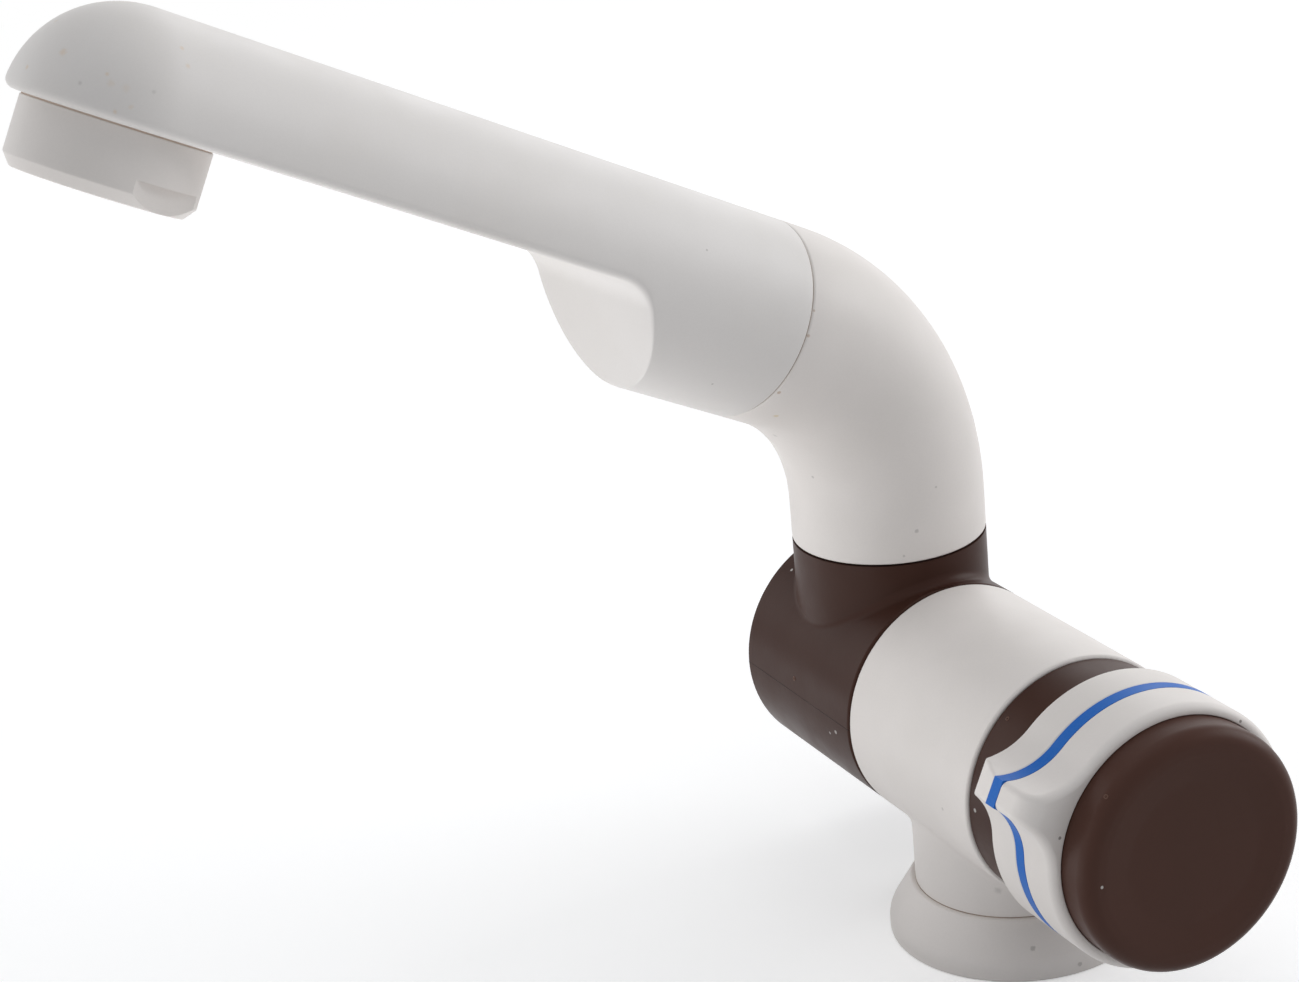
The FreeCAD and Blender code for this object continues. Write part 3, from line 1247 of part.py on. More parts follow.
def make_spout():
    along = spout.turned(ALONG_Y, 90)
    radius = size.stub_radius
    tube = cylinder("spout_tube", along, radius, size.joint_seam, size.head_reach)
    dome = add("Part::Sphere", "spout_dome", spout.moved(size.head_reach, 0, 0), Radius=radius)
    solid = fuse("spout_solid", [tube, dome])
    slant = sine(size.scoop_slope) / cosine(size.scoop_slope)
    deep = radius + PAST
    far = size.head_reach + radius + PAST
    scoop = slab("spout_scoop", spout, [
        (size.scoop_start, 0, size.scoop_round),
        (far, 0),
        (far, -deep),
        (size.scoop_start - deep * slant, -deep)], deep * 2)
    spigot_end = -size.joint_spigot_length
    outer = size.socket_radius - size.fitted_play
    wire = size.swivel_wire
    groove = outer - wire * 2 - size.groove_slack
    half_groove = wire * size.groove_share
    level = -size.joint_ring_place
    inner_end = size.inner_start + size.inner_length
    spigot = turned("spout_spigot", along, [
        (size.swivel_bore, spigot_end),
        (outer, spigot_end),
        (outer, level - half_groove),
        (groove, level - half_groove),
        (groove, level + half_groove),
        (outer, level + half_groove),
        (outer, size.inner_start),
        (size.swivel_bore, size.inner_start)])
    hollow = turned("spout_hollow", along, [
        (0, size.joint_seam - PAST),
        (size.swivel_bore, size.joint_seam - PAST),
        (size.swivel_bore, size.inner_start),
        (size.inner_radius, size.inner_start),
        (size.inner_radius, inner_end),
        (0, inner_end)])
    pipe_line = spout.moved(0, 0, size.pipe_height).turned(ALONG_Y, 90)
    pocket_end = outlet_reach - size.outlet_washer_radius - size.pocket_wall
    pipe_start = size.pocket_start - size.pipe_socket_rear
    pipe_end = pocket_end + size.pipe_socket_front
    way = cylinder("spout_way", pipe_line, size.pipe_bore, inner_end - PAST, outlet_reach)
    socket = cylinder("spout_pipe_socket", pipe_line, size.pipe_radius + size.fitted_play,
                      pipe_start, pipe_end)
    round_pocket = cylinder("spout_pocket_round", along, size.pocket_radius,
                            size.pocket_start, pocket_end)
    pocket_block = block("spout_pocket_block", spout, (size.pocket_start, -size.pocket_radius, 0),
                         (pocket_end, size.pocket_radius, size.pocket_radius))
    pocket = common("spout_pocket", round_pocket, pocket_block)
    half = size.cover_width / 2
    play = size.fitted_play
    recess = block("spout_cover_recess", spout,
                   (size.pocket_start - size.cover_lap - play, -half - play, -1),
                   (pocket_end + size.cover_lap + play, half + play, size.cover_thickness))
    head = turned("spout_head_bore", outlet, [
        (0, -1),
        (size.outlet_washer_radius, -1),
        (size.outlet_washer_radius, size.outlet_washer_recess),
        (size.neck_radius + size.fitted_play, size.outlet_washer_recess),
        (size.neck_radius + size.fitted_play, size.head_bore_depth),
        (0, size.head_bore_depth)])
    shell = cut("spout_form", solid, [scoop])
    joined = fuse("spout_joined", [shell, spigot])
    keep(cut("spout_shell", joined, [hollow, way, socket, pocket, recess, head]))
    keep(block("spout_underside", spout, (size.pocket_start - size.cover_lap, -half, 0),
               (pocket_end + size.cover_lap, half, size.cover_thickness)))
    keep(bushing("spout_pipe", pipe_line, size.pipe_bore, size.pipe_radius, pipe_start, pipe_end))
    keep(seal_ring("spout_o_ring", along, outer, wire, level))


# Outlet

def make_outlet():
    top = -size.casing_seam
    foot = -size.casing_seam - size.outlet_height
    lip_top = foot + size.outlet_lip_height
    ring = turned("outlet_ring_body", outlet, [
        (size.outlet_bore, size.neck_length),
        (size.neck_radius, size.neck_length),
        (size.neck_radius, top),
        (size.outlet_radius, top),
        (size.outlet_radius, foot + size.outlet_chamfer_rise),
        (size.outlet_foot_radius, foot),
        (size.outlet_lip, foot),
        (size.outlet_lip, lip_top),
        (size.outlet_bore, lip_top)])
    flats = []
    far = size.outlet_radius + PAST
    near = size.outlet_radius - size.outlet_flat_depth
    for index, turn in enumerate((0, 180)):
        facing = outlet.turned(ALONG_Z, 180 - size.outlet_flat_angle + turn)
        flats.append(block("outlet_flat_%d" % index, facing, (near, -far, foot - PAST),
                           (far, far, foot + size.outlet_flat_height)))
    keep(cut("outlet_ring", ring, flats))
    play = size.fitted_play
    keep(bushing("outlet_washer", outlet, size.neck_radius + play, size.outlet_washer_radius - play,
                 top, size.outlet_washer_recess))
    mesh_top = lip_top + size.mesh_thickness
    disc = cylinder("mesh_disc", outlet, size.outlet_bore - play, lip_top, mesh_top)
    holes = []
    for ring_index in range(MESH_RINGS):
        count = max(6 * ring_index, 1)
        for index in range(count):
            place = around(outlet, size.mesh_hole_spacing * ring_index, 360.0 * index / count)
            holes.append(cylinder("mesh_hole_%d_%d" % (ring_index, index), place, size.mesh_hole,
                                  lip_top - PAST, mesh_top + PAST))
    keep(cut("aerator_mesh", disc, holes))
    insert_top = size.neck_length
    inner = size.outlet_bore - play - size.insert_wall
    body = turned("insert_body", outlet, [
        (0, insert_top - size.insert_plate),
        (inner, insert_top - size.insert_plate),
        (inner, mesh_top),
        (size.outlet_bore - play, mesh_top),
        (size.outlet_bore - play, insert_top),
        (0, insert_top)])
    jets = [cylinder("insert_jet_%d" % index, around(outlet, size.insert_hole_circle, 360.0 * index / JETS),
                     size.insert_hole, insert_top - size.insert_plate - PAST, insert_top + PAST)
            for index in range(JETS)]
    keep(cut("aerator_insert", body, jets))


make_base()
make_inlet()
make_barrel()
make_collar()
make_switch()
make_valve()
make_knob()
make_tee()
make_elbow()
make_spout()
make_outlet()
doc.recompute()


# Checks and files

def check():
    for item in doc.Objects:
        if "Invalid" in item.State or "Error" in item.State:
            raise RuntimeError("%s failed: %s" % (item.Label, item.State))
    for name, item in nodes.items():
        if item.Shape.isNull() or not item.Shape.isValid() or item.Shape.Volume <= 0:
            raise RuntimeError("%s has no valid solid" % name)


check()
os.makedirs("parts", exist_ok=True)
for name, item in nodes.items():
    item.Shape.exportStep("parts/%s.step" % name)
    print("%-20s %2d solid  %10.2f mm3" % (name, len(item.Shape.Solids), item.Shape.Volume))
print(len(nodes), "sub-parts")
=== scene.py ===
import bpy
import bmesh
import math
from mathutils import Matrix, Vector


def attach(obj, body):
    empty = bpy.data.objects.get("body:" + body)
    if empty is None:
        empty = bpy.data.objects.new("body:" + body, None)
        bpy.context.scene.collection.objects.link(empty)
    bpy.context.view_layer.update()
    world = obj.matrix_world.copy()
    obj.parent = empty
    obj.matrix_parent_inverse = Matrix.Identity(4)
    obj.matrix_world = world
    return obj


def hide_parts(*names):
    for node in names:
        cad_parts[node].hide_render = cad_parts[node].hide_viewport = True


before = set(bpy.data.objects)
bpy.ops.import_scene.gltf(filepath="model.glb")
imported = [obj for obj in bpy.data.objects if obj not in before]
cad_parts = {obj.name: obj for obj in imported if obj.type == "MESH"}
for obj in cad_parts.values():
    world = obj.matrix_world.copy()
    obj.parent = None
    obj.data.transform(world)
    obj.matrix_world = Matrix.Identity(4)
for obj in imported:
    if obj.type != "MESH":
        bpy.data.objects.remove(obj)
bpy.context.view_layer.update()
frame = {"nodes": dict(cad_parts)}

# A folding basin tap for a boat or caravan, in metres.
# The frame is the solid model's: origin under the base flange, +Z up, knob at -Y, spout towards -X.
# The floor is the deck that the flange stands on, so the fixing below it is out of sight.

MM = 0.001
CAMERA_PLACE = Vector((-225.021, -369.568, 242.391)) * MM
CAMERA_AZIMUTH = math.radians(-24.342)
CAMERA_ELEVATION = math.radians(20.704)
CAMERA_ROLL = math.radians(-5.619)
SENSOR_WIDTH = 36.0
PICTURE_WIDTH = 1299
PICTURE_HEIGHT = 982
FOCAL_PIXELS = 3000

# Light: softboxes as name, place, width, height and power, in metres and watts

LIGHT_TARGET = (-0.03, 0.0, 0.07)
SOFTBOXES = [
    ("top_softbox", (0, 0.1, 1.8), 1.6, 1.6, 4.6),
    ("left_back_softbox", (-1.2, 1.3, 0.6), 1.4, 1.0, 4.5),
    ("right_back_softbox", (1.3, 1.2, 0.8), 1.4, 1.2, 5.0),
    ("right_softbox", (1.6, -0.3, 0.6), 1.2, 1.0, 13.2),
    ("left_softbox", (-1.6, 0.0, 0.25), 0.9, 0.6, 1.5),
]
GLOW_PLACE = (-0.19, 0.055, 0.004)
GLOW_TARGET = (-0.19, 0.055, 1.0)
GLOW_WIDTH = 0.24
GLOW_HEIGHT = 0.26
GLOW_POWER = 0.25
ROOM_COLOUR = (0.95, 0.97, 1.0, 1)
ROOM_STRENGTH = 0.45
FLOOR_REACH = 3.0
FLOOR_WHITE = 0.86
FLOOR_LIFT = 0.35
BOUNCE_WHITE = 0.68
FADE_START = 0.25
FADE_END = 0.9

# Sizes in millimetres, as in the solid model

BARREL_AXIS = 33.3
BARREL_RADIUS = 19.8
STUB_OFFSET = 33.8
RISER_FOOT = 57.75
RISER_TURN = 188.12
TUBE_RADIUS = 16.0
BEND_RADIUS = 38.4
BEND_ANGLE = 62.0
RISE = 6.7
RUN_OUT = 5.56
ELBOW_EDGE = 0.45
SPOUT_START = 0.12
SPOUT_LENGTH = 111.25
OUTLET_PLACE = 111.6
SCOOP_CORNER = 31.3
SCOOP_ROUNDING = 7.8
SCOOP_SLANT = math.radians(34.6)
WALL_ROUNDING = 0.8
RIM_ROUNDING = 1.35
REAR_ROUNDING = 0.3
WAY_RADIUS = 8.5
SPOUT_SPIGOT_RADIUS = 10.95
SPOUT_SPIGOT_END = -5.4
SPOUT_CUT_PAST = 1.6
SEAL_ROOM_RADIUS = 12.8
SEAL_ROOM_START = 3
SEAL_ROOM_END = 17
PIPE_RADIUS = 3.5
PIPE_LEVEL = 7.2
PIPE_START = 15
PIPE_END = 106
POCKET_RADIUS = 12.4
POCKET_START = 38
POCKET_END = 96
COVER_START = 36.6
COVER_END = 97.4
COVER_HALF_WIDTH = 13
COVER_DEPTH = 2
HEAD_BORE_RADIUS = 13
HEAD_BORE_DEPTH = 0.9
HEAD_THREAD_RADIUS = 11.55
HEAD_THREAD_DEPTH = 8.4
RISER_SPIGOT_RADIUS = 10.9
RISER_SPIGOT_END = -12.6
RISER_CUT_PAST = 1.4
RISER_COLLAR_RADIUS = 12
RISER_COLLAR_END = -2.7
RISER_BORE_END = 8
SPOUT_SEAT_RADIUS = 11
SPOUT_SEAT_END = -8
KNOB_TURN = 154.5
CAP_RADIUS = 19.2
CAP_BORE = 17.2
CAP_FOOT = 40.5
CAP_RIM = 50.3
CAP_DISH = 49.95
CAP_ROOF = 47.9
CAP_RIM_ROUNDING = 2.4
CAP_RIM_WIDTH = 3.5
CAP_DISH_RADIUS = 11.5
RING_RADIUS = 13.3
RING_NECK = 11.5
RING_NECK_TOP = 3.4
RING_BORE = 9.6
RING_MOUTH = 8.6
RING_TOP = -0.25
RING_LEDGE = -9.0
RING_END = -9.9
RING_SIDE_LEVELS = (-2.5, -4.5, -6.0, -6.25, -6.6, -7.2)
RING_TAPER_LEVEL = -8.15
RING_TAPER_RADIUS = 11.95
RING_EDGE = 0.22
FLAT_DISTANCE = 11.9
FLAT_LEVEL = -6.3
FLAT_SIDES = (110, 290)
FLAT_CUTTER_HALF = 12
FLAT_CUTTER_END = 16
REAR_HALF_EDGE = 0.5
FRONT_HALF_EDGE = 0.22
TEE_BARREL_SPAN = (16.15, 50.0)
TEE_FILLET = 1.6
TEE_FILLET_SPAN = (-17.6, 16.5)
STEM_FILLET = 2.5
STEM_FILLET_SPAN = (-19.2, 15.7)
FILLET_ROOT = 1.2
RIDGE_RADIUS = 0.07
RIDGE_DEPTH = 0.03
SEAM_ROOT = 0.3
TEE_PIP_RADIUS = 0.4
PIP_RADIUS = 0.36
PIP_ROOT = 0.3
PIP_HEIGHT = 0.09
THREAD_RADIUS = 12.0
THREAD_DEPTH = 0.62
THREAD_PITCH = 1.5
THREAD_FOOT = -45.0
THREAD_TOP = -1.2
THREAD_RUN_OUT = 0.6
CORE_GAP = 0.1

# Numbers of steps that round shapes are made from, and their spacings in millimetres

AROUND = 128
REAR_STEPS = 6
WALL_STEPS = 8
SCOOP_STEPS = 20
TUBE_STEPS = 48
RIM_STEPS = 6
UNDERSIDE_STEPS = 8
HEAD_STEPS = 64
ELBOW_AROUND = 96
BEND_STEPS = 40
SMALL_AROUND = 64
PIPE_AROUND = 48
RING_AROUND = 160
CAP_AROUND = 192
FILLET_AROUND = 160
FILLET_STEPS = 8
RIDGE_AROUND = 12
PIP_AROUND = 24
THREAD_STEPS = 48
THREAD_SIDES = 4
LEVEL_SPACING = 1.5
SLANT_SPACING = 0.35

# Edges that bend less than these angles are joined or shaded smooth, in degrees

JOINED_BELOW = 0.4
SMOOTH_BELOW = 35
SWEPT_SMOOTH_BELOW = 50
FILLET_SMOOTH_BELOW = 60
SOLID_SMOOTH_BELOW = 38
RING_SMOOTH_BELOW = 30
THREAD_SMOOTH_BELOW = 20

# Edges that bend more than these angles are bevelled, in degrees

RING_BEVEL_ABOVE = 34
ELBOW_BEVEL_ABOVE = 40
SOLID_BEVEL_ABOVE = 38

# Points nearer than these are merged, in metres

MERGE_DISTANCE = 1e-6
SOLID_MERGE_DISTANCE = 2e-6

# Places in the photograph, in its pixels across and down

PARTING_LINE_SEEN = (800, 697)
TEE_PIP_SEEN = (794.3, 678.6)
COLLAR_PIP_SEEN = (1007.5, 718.7)
CAP_PIP_SEEN = (1106, 796.7)


# Camera, light and floor

def camera_axes():
    level = math.cos(CAMERA_ELEVATION)
    back = Vector((math.sin(CAMERA_AZIMUTH) * level, -math.cos(CAMERA_AZIMUTH) * level,
                   math.sin(CAMERA_ELEVATION)))
    right = Vector((math.cos(CAMERA_AZIMUTH), math.sin(CAMERA_AZIMUTH), 0))
    up = back.cross(right)
    turned_right = right * math.cos(CAMERA_ROLL) + up * math.sin(CAMERA_ROLL)
    turned_up = up * math.cos(CAMERA_ROLL) - right * math.sin(CAMERA_ROLL)
    return turned_right, turned_up, back


def add_object(name, data):
    """Puts new data into the scene as an object at the origin."""
    added = bpy.data.objects.new(name, data)
    bpy.context.scene.collection.objects.link(added)
    return added


def make_camera():
    data = bpy.data.cameras.new("photo_camera")
    data.sensor_fit = "HORIZONTAL"
    data.sensor_width = SENSOR_WIDTH
    data.lens = SENSOR_WIDTH * FOCAL_PIXELS / PICTURE_WIDTH
    data.clip_start = 0.01
    data.clip_end = 20.0
    camera = add_object("photo_camera", data)
    turn = Matrix(camera_axes()).transposed()
    camera.matrix_world = Matrix.Translation(CAMERA_PLACE) @ turn.to_4x4()
    bpy.context.scene.camera = camera


def look_at(piece, seen):
    """The point of a piece that the camera sees at a place of the picture, and its surface's direction."""
    across, down = seen
    right, up, back = camera_axes()
    ray = right * (across - PICTURE_WIDTH / 2) + up * (PICTURE_HEIGHT / 2 - down) - back * FOCAL_PIXELS
    found, place, normal, index = piece.ray_cast(CAMERA_PLACE, ray.normalized())
    return place, normal


def add_softbox(name, place, target, width, height, power):
    data = bpy.data.lights.new(name, "AREA")
    data.shape = "RECTANGLE"
    data.size = width
    data.size_y = height
    data.energy = power
    lamp = add_object(name, data)
    turn = (Vector(target) - Vector(place)).to_track_quat("-Z", "Y")
    lamp.matrix_world = Matrix.Translation(place) @ turn.to_matrix().to_4x4()
    return lamp


def make_lights():
    for name, place, width, height, power in SOFTBOXES:
        add_softbox(name, place, LIGHT_TARGET, width, height, power)
    glow = add_softbox("table_glow", GLOW_PLACE, GLOW_TARGET, GLOW_WIDTH, GLOW_HEIGHT, GLOW_POWER)
    glow.visible_camera = False


def mixed(nodes, links, share, first, second):
    """Blends two shader nodes by a share from another node."""
    mix = nodes.new("ShaderNodeMixShader")
    links.new(share, mix.inputs[0])
    links.new(first.outputs[0], mix.inputs[1])
    links.new(second.outputs[0], mix.inputs[2])
    return mix


def make_world():
    world = bpy.data.worlds.new("studio")
    bpy.context.scene.world = world
    world.use_nodes = True
    nodes = world.node_tree.nodes
    links = world.node_tree.links
    nodes.clear()
    soft = nodes.new("ShaderNodeBackground")
    soft.inputs["Color"].default_value = ROOM_COLOUR
    soft.inputs["Strength"].default_value = ROOM_STRENGTH
    plain = nodes.new("ShaderNodeBackground")
    plain.inputs["Color"].default_value = (1, 1, 1, 1)
    plain.inputs["Strength"].default_value = 1.0
    mix = mixed(nodes, links, seen_or_mirrored(nodes, links), soft, plain)
    output = nodes.new("ShaderNodeOutputWorld")
    links.new(mix.outputs[0], output.inputs["Surface"])


def seen_or_mirrored(nodes, links):
    """1 for rays from the camera, and for rays that a mirror or glass sends on."""
    path = nodes.new("ShaderNodeLightPath")
    total = path.outputs["Is Camera Ray"]
    for other in ("Is Glossy Ray", "Is Transmission Ray"):
        larger = nodes.new("ShaderNodeMath")
        larger.operation = "MAXIMUM"
        links.new(total, larger.inputs[0])
        links.new(path.outputs[other], larger.inputs[1])
        total = larger.outputs[0]
    return total


def make_white_sweep():
    """White near the tap for shadows, and plain bright white far off, so that no horizon shows."""
    material = bpy.data.materials.new("white_sweep")
    material.use_nodes = True
    nodes = material.node_tree.nodes
    links = material.node_tree.links
    nodes.clear()
    diffuse = nodes.new("ShaderNodeBsdfDiffuse")
    diffuse.inputs["Color"].default_value = (FLOOR_WHITE, FLOOR_WHITE, FLOOR_WHITE, 1)
    lift = nodes.new("ShaderNodeEmission")
    lift.inputs["Strength"].default_value = FLOOR_LIFT
    near = nodes.new("ShaderNodeAddShader")
    links.new(diffuse.outputs[0], near.inputs[0])
    links.new(lift.outputs[0], near.inputs[1])
    place = nodes.new("ShaderNodeTexCoord")
    distance = nodes.new("ShaderNodeVectorMath")
    distance.operation = "LENGTH"
    links.new(place.outputs["Object"], distance.inputs[0])
    fade = nodes.new("ShaderNodeMapRange")
    fade.interpolation_type = "SMOOTHSTEP"
    fade.inputs["From Min"].default_value = FADE_START
    fade.inputs["From Max"].default_value = FADE_END
    links.new(distance.outputs["Value"], fade.inputs["Value"])
    far = nodes.new("ShaderNodeEmission")
    far.inputs["Strength"].default_value = 1.0
    sweep = mixed(nodes, links, fade.outputs["Result"], near, far)
    bounce = nodes.new("ShaderNodeBsdfDiffuse")
    bounce.inputs["Color"].default_value = (BOUNCE_WHITE, BOUNCE_WHITE, BOUNCE_WHITE, 1)
    mix = mixed(nodes, links, seen_or_mirrored(nodes, links), bounce, sweep)
    output = nodes.new("ShaderNodeOutputMaterial")
    links.new(mix.outputs[0], output.inputs["Surface"])
    return material


def make_floor():
    mesh = bpy.data.meshes.new("deck_floor")
    reach = FLOOR_REACH
    corners = [(-reach, -reach, 0), (reach, -reach, 0), (reach, reach, 0), (-reach, reach, 0)]
    mesh.from_pydata(corners, [], [(0, 1, 2, 3)])
    mesh.materials.append(make_white_sweep())
    add_object("deck_floor", mesh)


# Where the pieces stand, as turned and shifted frames in millimetres

def turned(degrees, axis):
    return Matrix.Rotation(math.radians(degrees), 4, axis)


def shifted(x, y, z):
    return Matrix.Translation((x, y, z))


BARREL = shifted(0, 0, BARREL_AXIS) @ turned(90, "X")
KNOB = BARREL @ turned(KNOB_TURN, "Z")
RISER = shifted(0, STUB_OFFSET, RISER_FOOT) @ turned(RISER_TURN, "Z")
BEND = math.radians(BEND_ANGLE)
BEND_FORWARD = BEND_RADIUS * (1 - math.cos(BEND)) + RUN_OUT * math.sin(BEND)
BEND_HEIGHT = RISE + BEND_RADIUS * math.sin(BEND) + RUN_OUT * math.cos(BEND)
SPOUT = RISER @ shifted(BEND_FORWARD, 0, BEND_HEIGHT) @ turned(BEND_ANGLE - 90, "Y")
ALONG_SPOUT = SPOUT @ turned(90, "Y")
OUTLET = SPOUT @ shifted(OUTLET_PLACE, 0, 0)
UPRIGHT = Matrix.Identity(4)


# Making meshes

def new_piece(name, points, faces, place):
    mesh = bpy.data.meshes.new(name)
    mesh.from_pydata([(place @ Vector(point)) * MM for point in points], [], faces)
    return add_object(name, mesh)


def clean(piece, sharp=SMOOTH_BELOW):
    """Merges doubles, turns the faces outwards and smooths all but the sharp edges."""
    work = bmesh.new()
    work.from_mesh(piece.data)
    bmesh.ops.remove_doubles(work, verts=work.verts, dist=MERGE_DISTANCE)
    bmesh.ops.dissolve_degenerate(work, edges=work.edges, dist=1e-7)
    bmesh.ops.recalc_face_normals(work, faces=work.faces)
    work.to_mesh(piece.data)
    work.free()
    piece.data.shade_smooth()
    piece.data.set_sharp_from_angle(angle=math.radians(sharp))
    return piece


def corner_arc(before, here, after, rounding, steps):
    """The arc that rounds the corner between two neighbours."""
    here = Vector(here[:2])
    backward = (Vector(before[:2]) - here).normalized()
    forward = (Vector(after[:2]) - here).normalized()
    half = backward.angle(forward) / 2
    centre = here + (backward + forward).normalized() * rounding / math.sin(half)
    first = here + backward * rounding / math.tan(half) - centre
    last = here + forward * rounding / math.tan(half) - centre
    sweep = first.angle_signed(last)
    points = []
    for step in range(steps + 1):
        arm = first.copy()
        arm.rotate(Matrix.Rotation(-sweep * step / steps, 2))
        points.append(centre + arm)
    return points


def rounded(corners, steps=6):
    """A closed outline whose corners (across, up, rounding) are replaced by arcs."""
    outline = []
    for index, corner in enumerate(corners):
        if len(corner) == 3:
            following = corners[(index + 1) % len(corners)]
            outline += corner_arc(corners[index - 1], corner, following, corner[2], steps)
        else:
            outline.append(Vector(corner))
    return outline


def lathe(name, place, corners, around=AROUND, steps=6):
    """A turned piece from its half outline (radius, level, rounding), closed round the axis."""
    outline = rounded(corners, steps)
    points = []
    for turn in range(around):
        angle = 2 * math.pi * turn / around
        for radius, level in outline:
            points.append((radius * math.cos(angle), radius * math.sin(angle), level))
    on_axis = [radius < 1e-6 for radius, level in outline]
    faces = [face for face, index, following in wrapped(around, len(outline))
             if not (on_axis[index] and on_axis[following])]
    return clean(new_piece(name, points, faces, place))


def wrapped(rows, size):
    """Faces of a closed ring of closed rows, each with the two places in the row that it spans."""
    for row in range(rows):
        here = row * size
        there = (row + 1) % rows * size
        for index in range(size):
            following = (index + 1) % size
            yield (here + index, there + index, there + following, here + following), index, following


def stepped_bore(name, place, steps, around=AROUND):
    """A turned cutter from its steps (radius, from, to) along the axis."""
    corners = [(0, steps[0][1])]
    for radius, start, end in steps:
        corners += [(radius, start), (radius, end)]
    corners.append((0, steps[-1][2]))
    return lathe(name, place, corners, around)


def block(name, place, lowest, highest):
    """A plain cutting block between two corners."""
    low = Vector(lowest)
    size = Vector(highest) - low
    work = bmesh.new()
    bmesh.ops.create_cube(work, size=1.0)
    for vertex in work.verts:
        share = vertex.co + Vector((0.5, 0.5, 0.5))
        vertex.co = (place @ (low + size * share)) * MM
    bmesh.ops.recalc_face_normals(work, faces=work.faces)
    mesh = bpy.data.meshes.new(name)
    work.to_mesh(mesh)
    work.free()
    return add_object(name, mesh)


def settle(piece):
    """Makes the modifiers' result the piece's own mesh."""
    graph = bpy.context.evaluated_depsgraph_get()
    graph.update()
    mesh = bpy.data.meshes.new_from_object(piece.evaluated_get(graph))
    piece.modifiers.clear()
    old = piece.data
    piece.data = mesh
    mesh.name = piece.name
    bpy.data.meshes.remove(old)
    return piece


def combine(piece, others, operation):
    """Joins other pieces to this one or cuts them out of it, and removes them."""
    for other in others:
        step = piece.modifiers.new("combine", "BOOLEAN")
        step.operation = operation
        step.solver = "EXACT"
        step.object = other
    settle(piece)
    for other in others:
        bpy.data.objects.remove(other)
    return piece


def soften(piece, width, angle, segments):
    """Breaks the sharp edges by a small bevel."""
    step = piece.modifiers.new("soften", "BEVEL")
    step.width = width * MM
    step.segments = segments
    step.limit_method = "ANGLE"
    step.angle_limit = math.radians(angle)
    step.harden_normals = False
    return settle(piece)


def even_shading(piece):
    """Weighs the normals by face area, so that flat faces stay flat beside small roundings."""
    step = piece.modifiers.new("even", "WEIGHTED_NORMAL")
    step.keep_sharp = True
    step.weight = 80
    return settle(piece)


def merged_copy(name, node, flat=0.0):
    """A copy of a solid's mesh with its loose triangles merged, and flat faces joined on request."""
    work = bmesh.new()
    work.from_mesh(node.data)
    bmesh.ops.remove_doubles(work, verts=work.verts, dist=SOLID_MERGE_DISTANCE)
    if flat:
        bmesh.ops.dissolve_limit(work, angle_limit=math.radians(flat), verts=work.verts, edges=work.edges)
    mesh = bpy.data.meshes.new(name)
    work.to_mesh(mesh)
    work.free()
    return add_object(name, mesh)


def softened_copy(name, node, width):
    """A copy of a solid with its sharp edges broken."""
    piece = merged_copy(name, node, JOINED_BELOW)
    clean(piece, SOLID_SMOOTH_BELOW)
    soften(piece, width, SOLID_BEVEL_ABOVE, 3)
    clean(piece, SWEPT_SMOOTH_BELOW)
    return even_shading(piece)


def dress(piece, material, body, slot, *replaced):
    piece.data.materials.clear()
    piece.data.materials.append(material)
    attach(piece, body)
    if replaced:
        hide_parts(*replaced)


# The spout: a tube with a domed head, cut flat below, swept round the head like a racetrack

def scoop_outline():
    """Stations along the spout: (distance, level of the underside, radius of the tube)."""
    foot = (SCOOP_CORNER - TUBE_RADIUS * math.tan(SCOOP_SLANT), -TUBE_RADIUS)
    top = (SCOOP_CORNER, 0)
    rear = (SPOUT_START + REAR_ROUNDING, -TUBE_RADIUS)
    front = (SPOUT_LENGTH, 0)
    stations = []
    for step in range(REAR_STEPS):
        angle = math.pi / 2 * step / REAR_STEPS
        radius = TUBE_RADIUS - REAR_ROUNDING * (1 - math.sin(angle))
        stations.append((SPOUT_START + REAR_ROUNDING * (1 - math.cos(angle)), -radius, radius))
    points = [Vector(rear)]
    points += corner_arc(rear, foot, top, WALL_ROUNDING, WALL_STEPS)
    points += corner_arc(foot, top, front, SCOOP_ROUNDING, SCOOP_STEPS)
    points.append(Vector(front))
    for start, end in zip(points, points[1:]):
        spacing = LEVEL_SPACING if abs(end.y - start.y) < 1e-6 else SLANT_SPACING
        parts = max(1, round((end - start).length / spacing))
        for part in range(parts):
            stations.append((*start.lerp(end, part / parts), TUBE_RADIUS))
    stations.append((*front, TUBE_RADIUS))
    return stations


def half_section(level, radius=TUBE_RADIUS):
    """Half of the tube's section, from its top round the side to the middle of its underside."""
    share = min(max(1 + level / TUBE_RADIUS, 0), 1) ** 3
    rounding = WALL_ROUNDING + (RIM_ROUNDING - WALL_ROUNDING) * share
    centre_up = level + rounding
    centre_out = math.sqrt(max((radius - rounding) ** 2 - centre_up ** 2, 0))
    touch = math.atan2(centre_up, centre_out)
    points = []
    for step in range(TUBE_STEPS + 1):
        angle = math.pi / 2 + (touch - math.pi / 2) * step / TUBE_STEPS
        points.append((radius * math.cos(angle), radius * math.sin(angle)))
    for step in range(1, RIM_STEPS + 1):
        angle = touch + (-math.pi / 2 - touch) * step / RIM_STEPS
        points.append((centre_out + rounding * math.cos(angle), centre_up + rounding * math.sin(angle)))
    for step in range(1, UNDERSIDE_STEPS + 1):
        points.append((centre_out * (1 - step / UNDERSIDE_STEPS), level))
    return points


def shell_rows():
    """Half sections up one side of the spout, round its head and back down the other side."""
    stations = scoop_outline()
    rows = [[(distance, out, up) for out, up in half_section(level, radius)]
            for distance, level, radius in stations]
    back = [[(distance, -out, up) for distance, out, up in row] for row in reversed(rows)]
    for step in range(1, HEAD_STEPS):
        angle = math.pi / 2 - math.pi * step / HEAD_STEPS
        rows.append([(SPOUT_LENGTH + out * math.cos(angle), out * math.sin(angle), up)
                     for out, up in half_section(0.0)])
    return rows + back


